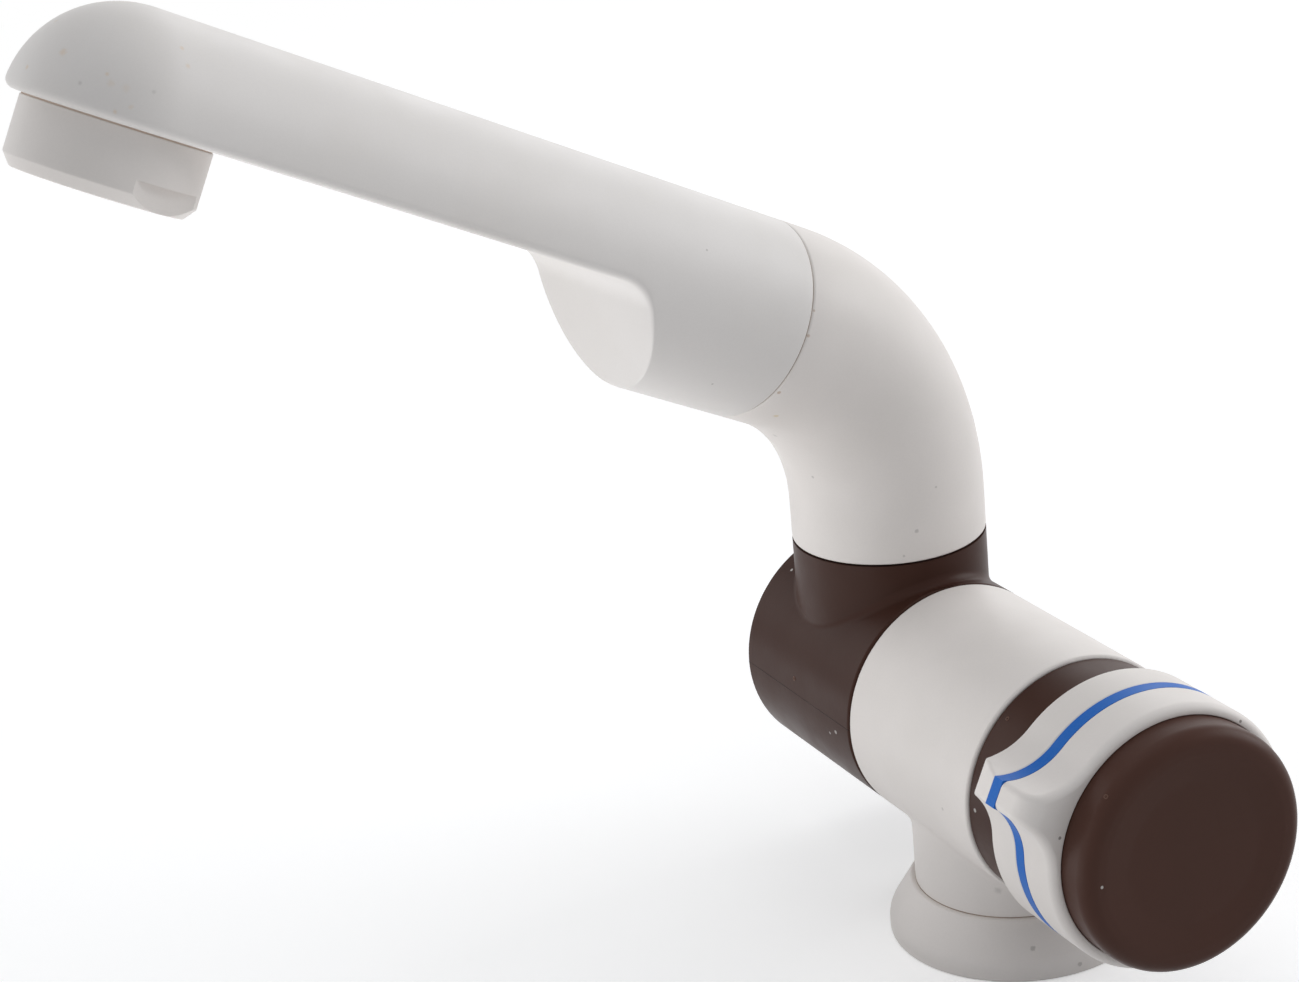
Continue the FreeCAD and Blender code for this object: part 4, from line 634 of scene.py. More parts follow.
def make_spout_shell():
    rows = shell_rows()
    size = len(rows[0])
    points = [point for row in rows for point in row]
    faces = []
    for row in range(len(rows) - 1):
        for index in range(size - 1):
            here = row * size + index
            there = here + size
            faces.append((here, there, there + 1, here + 1))
    last = (len(rows) - 1) * size
    faces.append(tuple(range(size)) + tuple(last + index for index in reversed(range(size))))
    shell = clean(new_piece("spout_shell_dressed", points, faces, SPOUT), SWEPT_SMOOTH_BELOW)
    end = SPOUT_SPIGOT_END
    root = SEAL_ROOM_START + 1
    spigot = lathe("spigot", ALONG_SPOUT, [(0, end), (SPOUT_SPIGOT_RADIUS, end, 0.3),
                                           (SPOUT_SPIGOT_RADIUS, root), (0, root)])
    combine(shell, [spigot], "UNION")
    way = [(WAY_RADIUS, end - SPOUT_CUT_PAST, SEAL_ROOM_START),
           (SEAL_ROOM_RADIUS, SEAL_ROOM_START, SEAL_ROOM_END)]
    pipe_place = SPOUT @ shifted(0, 0, PIPE_LEVEL) @ turned(90, "Y")
    head = [(HEAD_BORE_RADIUS, -COVER_DEPTH, HEAD_BORE_DEPTH),
            (HEAD_THREAD_RADIUS, HEAD_BORE_DEPTH, HEAD_THREAD_DEPTH)]
    cutters = [
        stepped_bore("way", ALONG_SPOUT, way),
        stepped_bore("pipe_way", pipe_place, [(PIPE_RADIUS, PIPE_START, PIPE_END)], PIPE_AROUND),
        stepped_bore("pocket", ALONG_SPOUT, [(POCKET_RADIUS, POCKET_START, POCKET_END)]),
        block("cover_recess", SPOUT, (COVER_START, -COVER_HALF_WIDTH, -1),
              (COVER_END, COVER_HALF_WIDTH, COVER_DEPTH)),
        stepped_bore("head_bore", OUTLET, head),
    ]
    combine(shell, cutters, "DIFFERENCE")
    return clean(shell, SWEPT_SMOOTH_BELOW)


# The elbow, swept along its path by geometry nodes

def set_mode(node, as_property, as_input):
    """Sets a node's mode, which some versions keep as a property and others as an input."""
    if hasattr(node, "mode"):
        node.mode = as_property
    else:
        node.inputs["Mode"].default_value = as_input


def begin_tree(name, sizes):
    """A geometry tree that takes named sizes and puts out geometry."""
    tree = bpy.data.node_groups.new(name, "GeometryNodeTree")
    tree.interface.new_socket("Geometry", in_out="INPUT", socket_type="NodeSocketGeometry")
    for label, value in sizes:
        socket = tree.interface.new_socket(label, in_out="INPUT", socket_type="NodeSocketFloat")
        socket.default_value = value
    tree.interface.new_socket("Geometry", in_out="OUTPUT", socket_type="NodeSocketGeometry")
    return tree, tree.nodes.new("NodeGroupInput")


def end_tree(tree, geometry, material):
    """Realizes the instances, sets the material and puts the geometry out."""
    realize = tree.nodes.new("GeometryNodeRealizeInstances")
    paint = tree.nodes.new("GeometryNodeSetMaterial")
    paint.inputs["Material"].default_value = material
    result = tree.nodes.new("NodeGroupOutput")
    tree.links.new(geometry, realize.inputs["Geometry"])
    tree.links.new(realize.outputs["Geometry"], paint.inputs["Geometry"])
    tree.links.new(paint.outputs["Geometry"], result.inputs["Geometry"])
    return tree


def elbow_tree(material):
    sizes = [("Bend radius", BEND_RADIUS * MM), ("Tube radius", TUBE_RADIUS * MM)]
    tree, given = begin_tree("swept_elbow", sizes)
    link = tree.links.new
    path = tree.nodes.new("GeometryNodeMeshToCurve")
    fillet = tree.nodes.new("GeometryNodeFilletCurve")
    set_mode(fillet, "POLY", "Poly")
    fillet.inputs["Count"].default_value = BEND_STEPS
    circle = tree.nodes.new("GeometryNodeCurvePrimitiveCircle")
    circle.inputs["Resolution"].default_value = ELBOW_AROUND
    sweep = tree.nodes.new("GeometryNodeCurveToMesh")
    sweep.inputs["Fill Caps"].default_value = True
    link(given.outputs["Geometry"], path.inputs["Mesh"])
    link(path.outputs["Curve"], fillet.inputs["Curve"])
    link(given.outputs["Bend radius"], fillet.inputs["Radius"])
    link(given.outputs["Tube radius"], circle.inputs["Radius"])
    link(fillet.outputs["Curve"], sweep.inputs["Curve"])
    link(circle.outputs["Curve"], sweep.inputs["Profile Curve"])
    return end_tree(tree, sweep.outputs["Mesh"], material)


def make_elbow(material):
    tangent = BEND_RADIUS * math.tan(BEND / 2)
    corner_up = RISE + tangent
    reach = tangent + RUN_OUT
    ends = [(0, 0, 0), (0, 0, corner_up), (reach * math.sin(BEND), 0, corner_up + reach * math.cos(BEND))]
    mesh = bpy.data.meshes.new("elbow_dressed")
    mesh.from_pydata([(RISER @ Vector(point)) * MM for point in ends], [(0, 1), (1, 2)], [])
    elbow = add_object("elbow_dressed", mesh)
    step = elbow.modifiers.new("sweep", "NODES")
    step.node_group = elbow_tree(material)
    settle(elbow)
    clean(elbow)
    soften(elbow, ELBOW_EDGE, ELBOW_BEVEL_ABOVE, 3)
    clean(elbow, SWEPT_SMOOTH_BELOW)
    end = RISER_SPIGOT_END
    collar = RISER_COLLAR_END
    spigot = lathe("riser_spigot", RISER, [(0, end), (RISER_SPIGOT_RADIUS, end, 0.4),
                                           (RISER_SPIGOT_RADIUS, collar), (RISER_COLLAR_RADIUS, collar),
                                           (RISER_COLLAR_RADIUS, 2), (0, 2)])
    combine(elbow, [spigot], "UNION")
    bores = [
        stepped_bore("lower_bore", RISER, [(WAY_RADIUS, end - RISER_CUT_PAST, RISER_BORE_END)],
                     SMALL_AROUND),
        stepped_bore("upper_bore", ALONG_SPOUT, [(SPOUT_SEAT_RADIUS, SPOUT_SEAT_END, 1)], SMALL_AROUND),
    ]
    combine(elbow, bores, "DIFFERENCE")
    return clean(elbow, SWEPT_SMOOTH_BELOW)


# Shared effects, as groups that put out masks, heights and colours

def effect(name, inputs, outputs):
    tree = bpy.data.node_groups.new(name, "ShaderNodeTree")
    for label, value in inputs:
        kind = "NodeSocketFloat"
        if isinstance(value, tuple):
            kind = "NodeSocketColor" if len(value) == 4 else "NodeSocketVector"
        socket = tree.interface.new_socket(label, in_out="INPUT", socket_type=kind)
        socket.default_value = value
    for label, kind in outputs:
        tree.interface.new_socket(label, in_out="OUTPUT", socket_type=kind)
    given = tree.nodes.new("NodeGroupInput")
    result = tree.nodes.new("NodeGroupOutput")
    return tree, given, result


def maths(tree, operation, first, second, third=None):
    """A maths node, fed by sockets or plain numbers."""
    node = tree.nodes.new("ShaderNodeMath")
    node.operation = operation
    for index, value in enumerate((first, second, third)):
        if value is None:
            continue
        if isinstance(value, (int, float)):
            node.inputs[index].default_value = value
        else:
            tree.links.new(value, node.inputs[index])
    return node.outputs[0]


def ramp_between(tree, value, low, high, bottom=0.0, top=1.0):
    """Maps a value from low..high to bottom..top, held at the ends."""
    node = tree.nodes.new("ShaderNodeMapRange")
    node.interpolation_type = "SMOOTHSTEP"
    for label, number in (("From Min", low), ("From Max", high), ("To Min", bottom), ("To Max", top)):
        if isinstance(number, (int, float)):
            node.inputs[label].default_value = number
        else:
            tree.links.new(number, node.inputs[label])
    tree.links.new(value, node.inputs["Value"])
    return node.outputs["Result"]


def noise(tree, place, scale, detail=2.0, rough=0.5):
    node = tree.nodes.new("ShaderNodeTexNoise")
    node.inputs["Detail"].default_value = detail
    node.inputs["Roughness"].default_value = rough
    if isinstance(scale, (int, float)):
        node.inputs["Scale"].default_value = scale
    else:
        tree.links.new(scale, node.inputs["Scale"])
    tree.links.new(place, node.inputs["Vector"])
    return node.outputs["Fac"]


def blend_colour(tree, amount, first, second):
    node = tree.nodes.new("ShaderNodeMix")
    node.data_type = "RGBA"
    for socket, value in ((node.inputs[0], amount), (node.inputs[6], first), (node.inputs[7], second)):
        if isinstance(value, (int, float)):
            socket.default_value = value
        elif isinstance(value, tuple):
            socket.default_value = (*value[:3], 1)
        else:
            tree.links.new(value, socket)
    return node.outputs[2]


def object_place(tree):
    return tree.nodes.new("ShaderNodeTexCoord").outputs["Object"]


def moulded_grain():
    """Height of a moulded skin: a fine grain on a slow unevenness."""
    inputs = [("Grain scale", 1400.0), ("Wave scale", 90.0), ("Wave share", 0.5)]
    tree, given, result = effect("moulded_grain", inputs, [("Height", "NodeSocketFloat")])
    place = object_place(tree)
    fine = noise(tree, place, given.outputs["Grain scale"], 2.0, 0.6)
    slow = noise(tree, place, given.outputs["Wave scale"], 1.0, 0.4)
    slow_part = maths(tree, "MULTIPLY", slow, given.outputs["Wave share"])
    tree.links.new(maths(tree, "ADD", fine, slow_part), result.inputs["Height"])
    return tree


def aged_tone():
    """A colour with soft cloudy variation towards a second colour, and fine speckles."""
    inputs = [("Colour", (0.7, 0.7, 0.7, 1)), ("Second colour", (0.6, 0.6, 0.6, 1)), ("Cloud scale", 40.0),
              ("Cloud amount", 0.3), ("Speckle amount", 0.05)]
    tree, given, result = effect("aged_tone", inputs, [("Colour", "NodeSocketColor")])
    place = object_place(tree)
    cloud = ramp_between(tree, noise(tree, place, given.outputs["Cloud scale"], 3.0, 0.55), 0.35, 0.7)
    amount = maths(tree, "MULTIPLY", cloud, given.outputs["Cloud amount"])
    base = blend_colour(tree, amount, given.outputs["Colour"], given.outputs["Second colour"])
    grain = ramp_between(tree, noise(tree, place, 2600.0, 1.0), 0.3, 0.7)
    speckle = maths(tree, "MULTIPLY", grain, given.outputs["Speckle amount"])
    tree.links.new(blend_colour(tree, speckle, base, (0.35, 0.33, 0.31)), result.inputs["Colour"])
    return tree


def rubbed_and_lit_edges():
    """Mask of the outer edges, where handling has rubbed them and where a painted edge highlight goes."""
    inputs = [("Start", 0.52), ("End", 0.6)]
    tree, given, result = effect("rubbed_and_lit_edges", inputs, [("Mask", "NodeSocketFloat")])
    place = object_place(tree)
    geometry = tree.nodes.new("ShaderNodeNewGeometry")
    edge = ramp_between(tree, geometry.outputs["Pointiness"], given.outputs["Start"], given.outputs["End"])
    patchy = ramp_between(tree, noise(tree, place, 220.0, 3.0, 0.6), 0.25, 0.6, 0.45, 1.0)
    tree.links.new(maths(tree, "MULTIPLY", edge, patchy), result.inputs["Mask"])
    return tree


def small_mark():
    """Mask of one small mark round a point, with an uneven border."""
    inputs = [("Centre", (0.0, 0.0, 0.0)), ("Radius", 0.0005), ("Softness", 0.4)]
    tree, given, result = effect("small_mark", inputs, [("Mask", "NodeSocketFloat")])
    place = object_place(tree)
    reach = tree.nodes.new("ShaderNodeVectorMath")
    reach.operation = "DISTANCE"
    tree.links.new(place, reach.inputs[0])
    tree.links.new(given.outputs["Centre"], reach.inputs[1])
    share = maths(tree, "DIVIDE", reach.outputs["Value"], given.outputs["Radius"])
    wobble = maths(tree, "MULTIPLY_ADD", noise(tree, place, 2200.0, 1.0), 0.7, share)
    start = maths(tree, "SUBTRACT", 1.35, given.outputs["Softness"])
    mask = ramp_between(tree, wobble, start, 1.4, 1.0, 0.0)
    tree.links.new(mask, result.inputs["Mask"])
    return tree


def turned_marks():
    """Height of the fine rings that a lathe leaves, about the upright axis."""
    tree, given, result = effect("turned_marks", [("Ring scale", 900.0)], [("Height", "NodeSocketFloat")])
    wave = tree.nodes.new("ShaderNodeTexWave")
    wave.wave_type = "RINGS"
    wave.rings_direction = "Z"
    wave.inputs["Distortion"].default_value = 1.5
    wave.inputs["Detail"].default_value = 2.0
    tree.links.new(object_place(tree), wave.inputs["Vector"])
    tree.links.new(given.outputs["Ring scale"], wave.inputs["Scale"])
    tree.links.new(wave.outputs["Fac"], result.inputs["Height"])
    return tree


GRAIN = moulded_grain()
TONE = aged_tone()
RUBBED_AND_LIT_EDGES = rubbed_and_lit_edges()
MARK = small_mark()
RINGS = turned_marks()


def use(tree, group, **values):
    node = tree.nodes.new("ShaderNodeGroup")
    node.node_tree = group
    for label, value in values.items():
        node.inputs[label.replace("_", " ")].default_value = value
    return node


def finish(name, colour, second, roughness, specular=0.5, metallic=0.0, cloud=0.3, cloud_scale=40.0,
           speckle=0.03, rub=None, grain=0.25, grain_depth=0.00002, marks=(), rings=False):
    """A surface finish from the shared effects, with this object's own values."""
    material = bpy.data.materials.new(name)
    material.use_nodes = True
    tree = material.node_tree
    shader = tree.nodes["Principled BSDF"]
    shader.inputs["Metallic"].default_value = metallic
    shader.inputs["Specular IOR Level"].default_value = specular
    tone = use(tree, TONE, Colour=(*colour, 1), Second_colour=(*second, 1), Cloud_scale=cloud_scale,
               Cloud_amount=cloud, Speckle_amount=speckle)
    painted = tone.outputs["Colour"]
    # The rub colour lightens the outer edges: partly wear, partly a painted edge highlight.
    if rub:
        wear_and_highlight_colour, wear_and_highlight_strength = rub
        edges = use(tree, RUBBED_AND_LIT_EDGES)
        share = maths(tree, "MULTIPLY", edges.outputs["Mask"], wear_and_highlight_strength)
        painted = blend_colour(tree, share, painted, wear_and_highlight_colour)
    for centre, radius, softness, strength, tint in marks:
        spot = use(tree, MARK, Centre=tuple(centre), Radius=radius * MM, Softness=softness)
        share = maths(tree, "MULTIPLY", spot.outputs["Mask"], strength)
        painted = blend_colour(tree, share, painted, tint)
    tree.links.new(painted, shader.inputs["Base Color"])
    patches = noise(tree, object_place(tree), 120.0, 3.0, 0.6)
    uneven = ramp_between(tree, patches, 0.3, 0.7, roughness * 0.9, roughness * 1.12)
    tree.links.new(uneven, shader.inputs["Roughness"])
    bump = tree.nodes.new("ShaderNodeBump")
    bump.inputs["Strength"].default_value = grain
    bump.inputs["Distance"].default_value = grain_depth
    skin = use(tree, RINGS if rings else GRAIN)
    tree.links.new(skin.outputs["Height"], bump.inputs["Height"])
    tree.links.new(bump.outputs["Normal"], shader.inputs["Normal"])
    return material


def marks_on(piece, places):
    """Marks at places of the picture: (across, down, radius in mm, softness, strength, colour)."""
    found = []
    for across, down, radius, softness, strength, tint in places:
        place, normal = look_at(piece, (across, down))
        found.append((place, radius, softness, strength, tint))
    return found


# Smaller pieces with rounded edges

def make_knob_cap():
    """The cap, with a rounded rim and a slightly dished face that keeps a few rings for its shading."""
    corners = [(CAP_BORE, CAP_FOOT), (CAP_RADIUS, CAP_FOOT), (CAP_RADIUS, CAP_RIM, CAP_RIM_ROUNDING),
               (CAP_RADIUS - CAP_RIM_WIDTH, CAP_RIM, 6), (CAP_DISH_RADIUS, CAP_DISH, 12)]
    corners += [(CAP_DISH_RADIUS - inwards, CAP_DISH) for inwards in (4, 8)]
    corners += [(0, CAP_DISH), (0, CAP_ROOF), (CAP_BORE, CAP_ROOF)]
    return lathe("knob_cap_dressed", KNOB, corners, CAP_AROUND, 10)


def make_outlet_ring():
    """The ring, with spanner flats; the levels on its side keep the shading even round the flats."""
    corners = [(RING_BORE, RING_NECK_TOP), (RING_NECK, RING_NECK_TOP), (RING_NECK, RING_TOP),
               (RING_RADIUS, RING_TOP, 0.12)]
    corners += [(RING_RADIUS, level) for level in RING_SIDE_LEVELS]
    corners += [(RING_RADIUS, RING_TAPER_LEVEL, 0.6), (RING_TAPER_RADIUS, RING_END, 0.5),
                (RING_MOUTH, RING_END, 0.3), (RING_MOUTH, RING_LEDGE), (RING_BORE, RING_LEDGE)]
    ring = lathe("outlet_ring_dressed", OUTLET, corners, RING_AROUND, 5)
    half = FLAT_CUTTER_HALF
    cutters = [block("flat", OUTLET @ turned(side, "Z"), (FLAT_DISTANCE, -half, -half),
                     (FLAT_CUTTER_END, half, FLAT_LEVEL)) for side in FLAT_SIDES]
    combine(ring, cutters, "DIFFERENCE")
    clean(ring, RING_SMOOTH_BELOW)
    soften(ring, RING_EDGE, RING_BEVEL_ABOVE, 2)
    clean(ring, FILLET_SMOOTH_BELOW)
    return even_shading(ring)


def make_foot_fillet(name, middle, ball, side, front, back):
    """The soft inner corner between an upright post and a barrel, as a rolled ball leaves it."""
    out = TUBE_RADIUS + ball
    share = BARREL_RADIUS / (BARREL_RADIUS + ball)
    points = []
    for turn in range(FILLET_AROUND):
        angle = 2 * math.pi * turn / FILLET_AROUND
        aside = out * math.cos(angle)
        rise = math.sqrt((BARREL_RADIUS + ball) ** 2 - aside ** 2) * side
        centre = Vector((aside, out * math.sin(angle), rise))
        on_post = Vector((TUBE_RADIUS * math.cos(angle), TUBE_RADIUS * math.sin(angle), rise))
        on_barrel = Vector((aside * share, centre.y, rise * share))
        first = (on_post - centre).normalized()
        last = (on_barrel - centre).normalized()
        row = [centre + first.slerp(last, step / FILLET_STEPS) * ball for step in range(FILLET_STEPS + 1)]
        between = (on_post + on_barrel) / 2
        row.append(between + (between - centre).normalized() * FILLET_ROOT)
        for point in row:
            point.y = max(min(point.y, back), front)
            points.append(point)
    faces = [face for face, index, following in wrapped(FILLET_AROUND, FILLET_STEPS + 2)]
    return clean(new_piece(name, points, faces, shifted(0, middle, BARREL_AXIS)), FILLET_SMOOTH_BELOW)


def make_seam_line(name, place, radius, level, width, height):
    """A line of dust in a seam: a thin ring that starts inside the piece."""
    root = radius - SEAM_ROOT
    crest = radius + height
    corners = [(root, level), (crest, level), (crest, level + width), (root, level + width)]
    return lathe(name, place, corners, RING_AROUND)


def make_parting_line(tee):
    """The fine ridge where the halves of the tee's mould met, along the barrel; its finish is painted near
    black as the ridge's painted shadow line.
    """
    seen, normal = look_at(tee, PARTING_LINE_SEEN)
    angle = math.atan2(seen.z / MM - BARREL_AXIS, seen.x / MM)
    centre = BARREL_RADIUS - RIDGE_DEPTH
    size = RIDGE_AROUND
    points = []
    for along in TEE_BARREL_SPAN:
        for step in range(size):
            turn = 2 * math.pi * step / size
            points.append((centre * math.cos(angle) + RIDGE_RADIUS * math.cos(turn), along,
                           BARREL_AXIS + centre * math.sin(angle) + RIDGE_RADIUS * math.sin(turn)))
    faces = [tuple(range(size)), tuple(reversed(range(size, 2 * size)))]
    for step in range(size):
        following = (step + 1) % size
        faces.append((step, step + size, following + size, following))
    return clean(new_piece("tee_parting_line", points, faces, UPRIGHT), SWEPT_SMOOTH_BELOW)


def make_pip(name, piece, seen, radius):
    """A moulding pip: a tiny raised ring with a hollow middle, square to the surface that carries it."""
    place, normal = look_at(piece, seen)
    turn = normal.to_track_quat("Z", "Y").to_matrix().to_4x4()
    corners = [(0, -PIP_ROOT), (radius, -PIP_ROOT), (radius, 0.05, 0.03), (radius * 0.62, PIP_HEIGHT, 0.05),
               (radius * 0.45, 0.0), (0, -0.02)]
    return lathe(name, Matrix.Translation(place / MM) @ turn, corners, PIP_AROUND, 3)


# The deck thread: a ridge wound round the shank by geometry nodes

def thread_tree(material):
    length = THREAD_TOP - THREAD_FOOT
    sizes = [("Radius", (THREAD_RADIUS - THREAD_DEPTH) * MM), ("Depth", THREAD_DEPTH * MM),
             ("Length", length * MM), ("Turns", length / THREAD_PITCH), ("Foot", THREAD_FOOT * MM)]
    tree, given = begin_tree("wound_thread", sizes)
    link = tree.links.new
    helix = tree.nodes.new("GeometryNodeCurveSpiral")
    helix.inputs["Resolution"].default_value = THREAD_STEPS
    upright = tree.nodes.new("GeometryNodeSetCurveNormal")
    set_mode(upright, "Z_UP", "Z Up")
    ridge = tree.nodes.new("GeometryNodeCurvePrimitiveCircle")
    ridge.inputs["Resolution"].default_value = THREAD_SIDES
    sweep = tree.nodes.new("GeometryNodeCurveToMesh")
    sweep.inputs["Fill Caps"].default_value = True
    offset = tree.nodes.new("ShaderNodeCombineXYZ")
    move = tree.nodes.new("GeometryNodeTransform")
    link(given.outputs["Turns"], helix.inputs["Rotations"])
    link(given.outputs["Radius"], helix.inputs["Start Radius"])
    link(given.outputs["Radius"], helix.inputs["End Radius"])
    link(given.outputs["Length"], helix.inputs["Height"])
    link(given.outputs["Depth"], ridge.inputs["Radius"])
    link(given.outputs["Foot"], offset.inputs["Z"])
    link(helix.outputs["Curve"], upright.inputs["Curve"])
    link(upright.outputs["Curve"], sweep.inputs["Curve"])
    link(ridge.outputs["Curve"], sweep.inputs["Profile Curve"])
    link(sweep.outputs["Mesh"], move.inputs["Geometry"])
    link(offset.outputs["Vector"], move.inputs["Translation"])
    return end_tree(tree, move.outputs["Geometry"], material)


def make_shank_thread(material):
    thread = add_object("shank_thread", bpy.data.meshes.new("shank_thread"))
    step = thread.modifiers.new("wind", "NODES")
    step.node_group = thread_tree(material)
    settle(thread)
    return clean(thread, THREAD_SMOOTH_BELOW)


def make_shank(node):
    """The shank of the solid model, turned down to the thread's core."""
    shank = merged_copy("mounting_shank_dressed", node)
    core = THREAD_RADIUS - THREAD_DEPTH - CORE_GAP
    outside = THREAD_RADIUS + 2
    foot = THREAD_FOOT - THREAD_RUN_OUT
    top = THREAD_TOP + THREAD_RUN_OUT
    swarf = lathe("swarf", UPRIGHT, [(core, foot), (outside, foot), (outside, top), (core, top)])
    combine(shank, [swarf], "DIFFERENCE")
    return clean(shank, RING_SMOOTH_BELOW)


# Marks seen in the photograph: (across, down, radius in mm, softness, strength, colour)

ORANGE = (0.45, 0.30, 0.19)
YELLOW = (0.66, 0.52, 0.28)
STAIN = (0.72, 0.56, 0.40)
GREY = (0.33, 0.31, 0.29)
DARK = (0.10, 0.08, 0.07)
PALE = (0.80, 0.78, 0.75)

MARKS = {
    "spout_shell": [
        (63, 52, 0.75, 1.0, 0.55, STAIN), (27, 67, 0.45, 0.9, 0.5, STAIN), (107, 74, 0.4, 0.9, 0.45, STAIN),
        (115, 112, 0.4, 0.9, 0.45, STAIN), (182, 48, 0.45, 0.9, 0.45, STAIN), (188, 66, 0.5, 0.9, 0.4, STAIN),
        (80, 83, 0.4, 0.9, 0.3, GREY), (111, 83, 0.7, 1.0, 0.25, STAIN), (154, 92, 0.4, 0.9, 0.25, GREY),
        (131, 107, 0.5, 1.0, 0.3, STAIN), (126, 88, 0.8, 1.0, 0.2, STAIN), (56, 21, 0.5, 0.9, 0.3, STAIN),
        (707, 250, 0.22, 0.4, 0.5, GREY), (712.5, 384, 0.22, 0.4, 0.5, GREY)],
    "elbow": [
        (779, 392.6, 0.38, 0.5, 0.6, ORANGE), (776, 416, 0.6, 0.7, 0.55, YELLOW),
        (775, 435.6, 0.5, 0.6, 0.3, GREY), (812.7, 477, 0.3, 0.4, 0.4, GREY),
        (808.5, 336, 0.33, 0.6, 0.5, ORANGE), (814, 310.6, 0.26, 0.6, 0.45, ORANGE),
        (936, 487, 0.25, 0.4, 0.35, GREY), (904, 556, 0.25, 0.4, 0.35, GREY),
        (916.7, 531, 0.4, 0.5, 0.4, GREY)],
    "valve_body": [(942.6, 809, 0.35, 0.5, 0.4, GREY), (998, 890.6, 0.8, 0.8, 0.3, GREY)],
    "base_flange": [(1033, 948.3, 0.5, 0.5, 0.5, GREY), (1080, 964, 0.5, 0.5, 0.5, GREY)],
    "fold_tee": [(835.6, 732, 0.4, 0.5, 0.5, PALE), (791.7, 569.8, 0.3, 0.4, 0.7, PALE),
                 (830, 733, 0.3, 0.5, 0.4, PALE)],
    "collar_ring": [(975, 810.4, 0.4, 0.5, 0.5, PALE)],
    "knob_cap": [(1102, 887.6, 0.28, 0.4, 0.6, PALE)],
    "knob_front_half": [(1240.5, 721.4, 0.3, 0.4, 0.7, DARK), (1059.8, 838.3, 0.3, 0.4, 0.7, DARK)],
}

# The finishes, each with its colour and the tone that the colour drifts to

IVORY = (0.80, 0.757, 0.727)
IVORY_SPOUT = (0.765, 0.738, 0.718)
IVORY_SHADE = (0.70, 0.665, 0.63)
BROWN = (0.045, 0.018, 0.0125)
# The cap is the same brown plastic, painted lighter as a painted sheen on its face.
BROWN_CAP_SHEEN = (0.072, 0.033, 0.0245)
# The mould line's colour is the brown painted near black, as the painted shadow of its ridge.
BROWN_SHADOW_LINE = (0.014, 0.006, 0.004)
BROWN_PIP = (0.15, 0.085, 0.065)
BROWN_SHADE = (0.062, 0.03, 0.022)


def ivory(name, colour=IVORY, marks=()):
    return finish(name, colour, IVORY_SHADE, 0.45, specular=0.24, cloud=0.35, speckle=0.02, grain=0.22,
                  marks=marks)


def brown(name, colour=BROWN, marks=()):
    return finish(name, colour, BROWN_SHADE, 0.36, specular=0.09, cloud=0.4, speckle=0.0, grain=0.35,
                  grain_depth=0.00003, marks=marks)


def make_finishes(marks):
    """Finishes by the name of a piece, or else by the name of a slot."""
    return {
        "spout_shell": ivory("ivory_spout", IVORY_SPOUT, marks["spout_shell"]),
        "elbow": ivory("ivory_elbow", IVORY, marks["elbow"]),
        "valve_body": ivory("ivory_barrel", IVORY, marks["valve_body"]),
        "base_flange": ivory("ivory_flange", IVORY, marks["base_flange"]),
        "ivory_plastic": ivory("ivory_small_parts"),
        "knob_front_half": ivory("ivory_knob", IVORY, marks["knob_front_half"]),
        "fold_tee": brown("brown_tee", BROWN, marks["fold_tee"]),
        "collar_ring": brown("brown_collar", BROWN, marks["collar_ring"]),
        # The cap's finish is the brown painted lighter, a painted sheen.
        "knob_cap": brown("brown_cap_painted_sheen", BROWN_CAP_SHEEN, marks["knob_cap"]),
        "brown_plastic": brown("brown_small_parts"),
        "mould_line": brown("brown_mould_line_shadow", BROWN_SHADOW_LINE),
        "pip": brown("brown_pips", BROWN_PIP),
        "blue_plastic": finish("blue_disc", (0.012, 0.135, 0.52), (0.02, 0.15, 0.54), 0.42, specular=0.12),
        # The rub colours below lighten outer edges, as wear and as a painted edge highlight.
        "black_plastic": finish("black_switch_case", (0.018, 0.018, 0.019), (0.03, 0.03, 0.03), 0.45,
                                cloud=0.4, rub=((0.08, 0.08, 0.08), 0.5), grain=0.4, grain_depth=0.00004),
        "white_acetal": finish("white_acetal", (0.78, 0.78, 0.75), (0.70, 0.69, 0.64), 0.33,
                               rub=((0.85, 0.85, 0.83), 0.4), grain=0.12),
        "ceramic": finish("lapped_ceramic", (0.83, 0.80, 0.74), (0.78, 0.74, 0.67), 0.16, cloud=0.2,
                          speckle=0.05, grain=0.03),
        "brass": finish("machined_brass", (0.72, 0.50, 0.22), (0.52, 0.34, 0.15), 0.3, metallic=1.0,
                        cloud=0.6, rub=((0.86, 0.66, 0.36), 0.5), grain=0.2, grain_depth=0.00001,
                        rings=True),
        "steel": finish("stainless_steel", (0.60, 0.60, 0.59), (0.46, 0.46, 0.46), 0.3, metallic=1.0,
                        cloud=0.5, rub=((0.78, 0.78, 0.78), 0.5), grain=0.18, grain_depth=0.00001,
                        rings=True),
        "rubber": finish("soft_seal_rubber", (0.02, 0.02, 0.021), (0.035, 0.033, 0.032), 0.62, specular=0.35,
                         cloud=0.6, grain=0.5, grain_depth=0.00005),
        "dark_rubber": finish("aged_brown_seal", (0.5, 0.39, 0.32), (0.36, 0.27, 0.22), 0.6, specular=0.3,
                              cloud=0.6, grain=0.5, grain_depth=0.00004),
        "pale_seam": finish("pale_dust", (0.66, 0.53, 0.45), (0.7, 0.6, 0.52), 0.75, specular=0.2, cloud=0.9,
                            cloud_scale=180.0),
        "seam": finish("settled_dust", (0.30, 0.235, 0.19), (0.42, 0.34, 0.28), 0.75, specular=0.2, cloud=0.9,
                       cloud_scale=180.0, grain=0.5, grain_depth=0.00004),
    }


# The picture's setting

make_camera()
make_world()
make_lights()
make_floor()

# The main pieces come first, because the marks are placed by looking at their surfaces

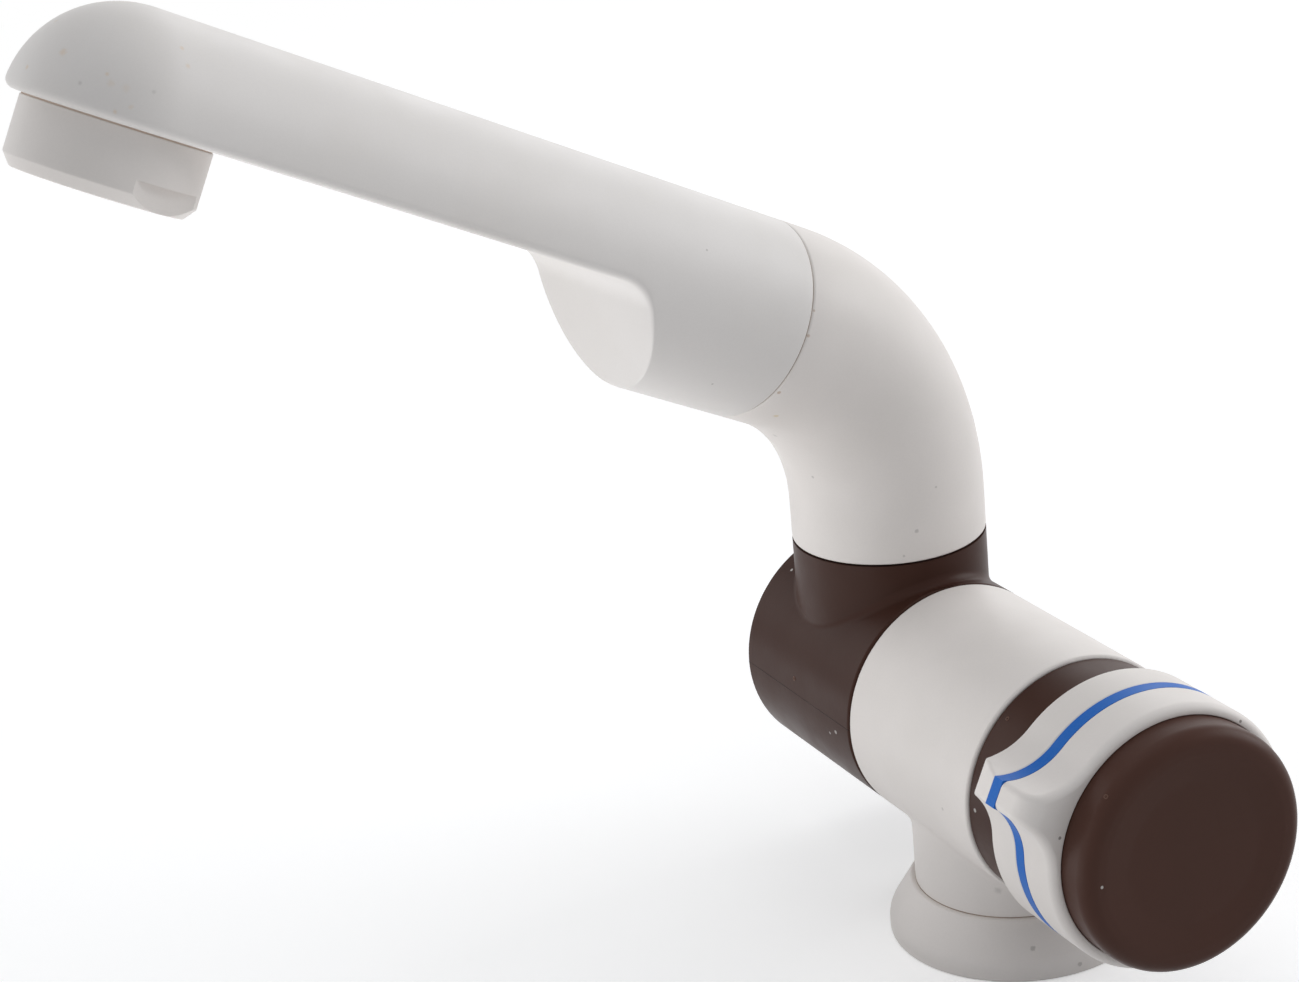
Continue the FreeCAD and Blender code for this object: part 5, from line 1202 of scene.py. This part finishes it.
cad = frame["nodes"]
first_coat = bpy.data.materials.new("first_coat")
shell = make_spout_shell()
elbow = make_elbow(first_coat)
cap = make_knob_cap()
ring = make_outlet_ring()
carriers = {**cad, "spout_shell": shell, "elbow": elbow, "knob_cap": cap}
finishes = make_finishes({name: marks_on(carriers[name], places) for name, places in MARKS.items()})
bpy.data.materials.remove(first_coat)

# Every solid that stays gets the finish of its own name, or else of its slot

for name, node in cad.items():
    for index, old in enumerate(node.data.materials):
        node.data.materials[index] = finishes.get(name) or finishes[old.name.split(".")[0]]

# Pieces that replace solids

dress(shell, finishes["spout_shell"], "spout", "ivory_plastic", "spout_shell")
dress(elbow, finishes["elbow"], "spout", "ivory_plastic", "elbow")
dress(cap, finishes["knob_cap"], "knob", "brown_plastic", "knob_cap")
for half, width in (("knob_rear_half", REAR_HALF_EDGE), ("knob_front_half", FRONT_HALF_EDGE)):
    dress(softened_copy(half + "_dressed", cad[half], width), finishes["knob_front_half"], "knob",
          "ivory_plastic", half)
dress(ring, finishes["ivory_plastic"], "spout", "ivory_plastic", "outlet_ring")

# Fillets, lines and pips of the mouldings

dress(make_foot_fillet("tee_foot_fillet", STUB_OFFSET, TEE_FILLET, 1, *TEE_FILLET_SPAN), finishes["fold_tee"],
      "tee", "brown_plastic")
dress(make_foot_fillet("stem_top_fillet", 0, STEM_FILLET, -1, *STEM_FILLET_SPAN), finishes["valve_body"],
      "base", "ivory_plastic")
# The parting line's finish is a painted shadow line.
dress(make_parting_line(cad["fold_tee"]), finishes["mould_line"], "tee", "brown_plastic")
for name, carrier, seen, radius, body in (
        ("tee_pip", cad["fold_tee"], TEE_PIP_SEEN, TEE_PIP_RADIUS, "tee"),
        ("collar_pip", cad["collar_ring"], COLLAR_PIP_SEEN, PIP_RADIUS, "base"),
        ("cap_pip", cap, CAP_PIP_SEEN, PIP_RADIUS, "knob")):
    dress(make_pip(name, carrier, seen, radius), finishes["pip"], body, "brown_plastic")

# The threaded shank under the deck

dress(make_shank(cad["mounting_shank"]), finishes["brass"], "base", "brass", "mounting_shank")
dress(make_shank_thread(finishes["brass"]), finishes["brass"], "base", "brass")

# Dust in the seams: (name, place, radius, level, width, height, finish, body)

for name, place, radius, level, width, height, look, body in (
        ("spout_seam_line", ALONG_SPOUT, 15.78, -0.03, 0.22, 0.0, "seam", "spout"),
        ("outlet_seam_line", OUTLET, 13.1, -0.26, 0.25, 0.02, "pale_seam", "spout"),
        ("flange_seam_line", UPRIGHT, 16.0, 9.0, 0.14, 0.05, "seam", "base")):
    dress(make_seam_line(name, place, radius, level, width, height), finishes[look], body, "dark_rubber")

bpy.context.scene.view_settings.view_transform = "Standard"
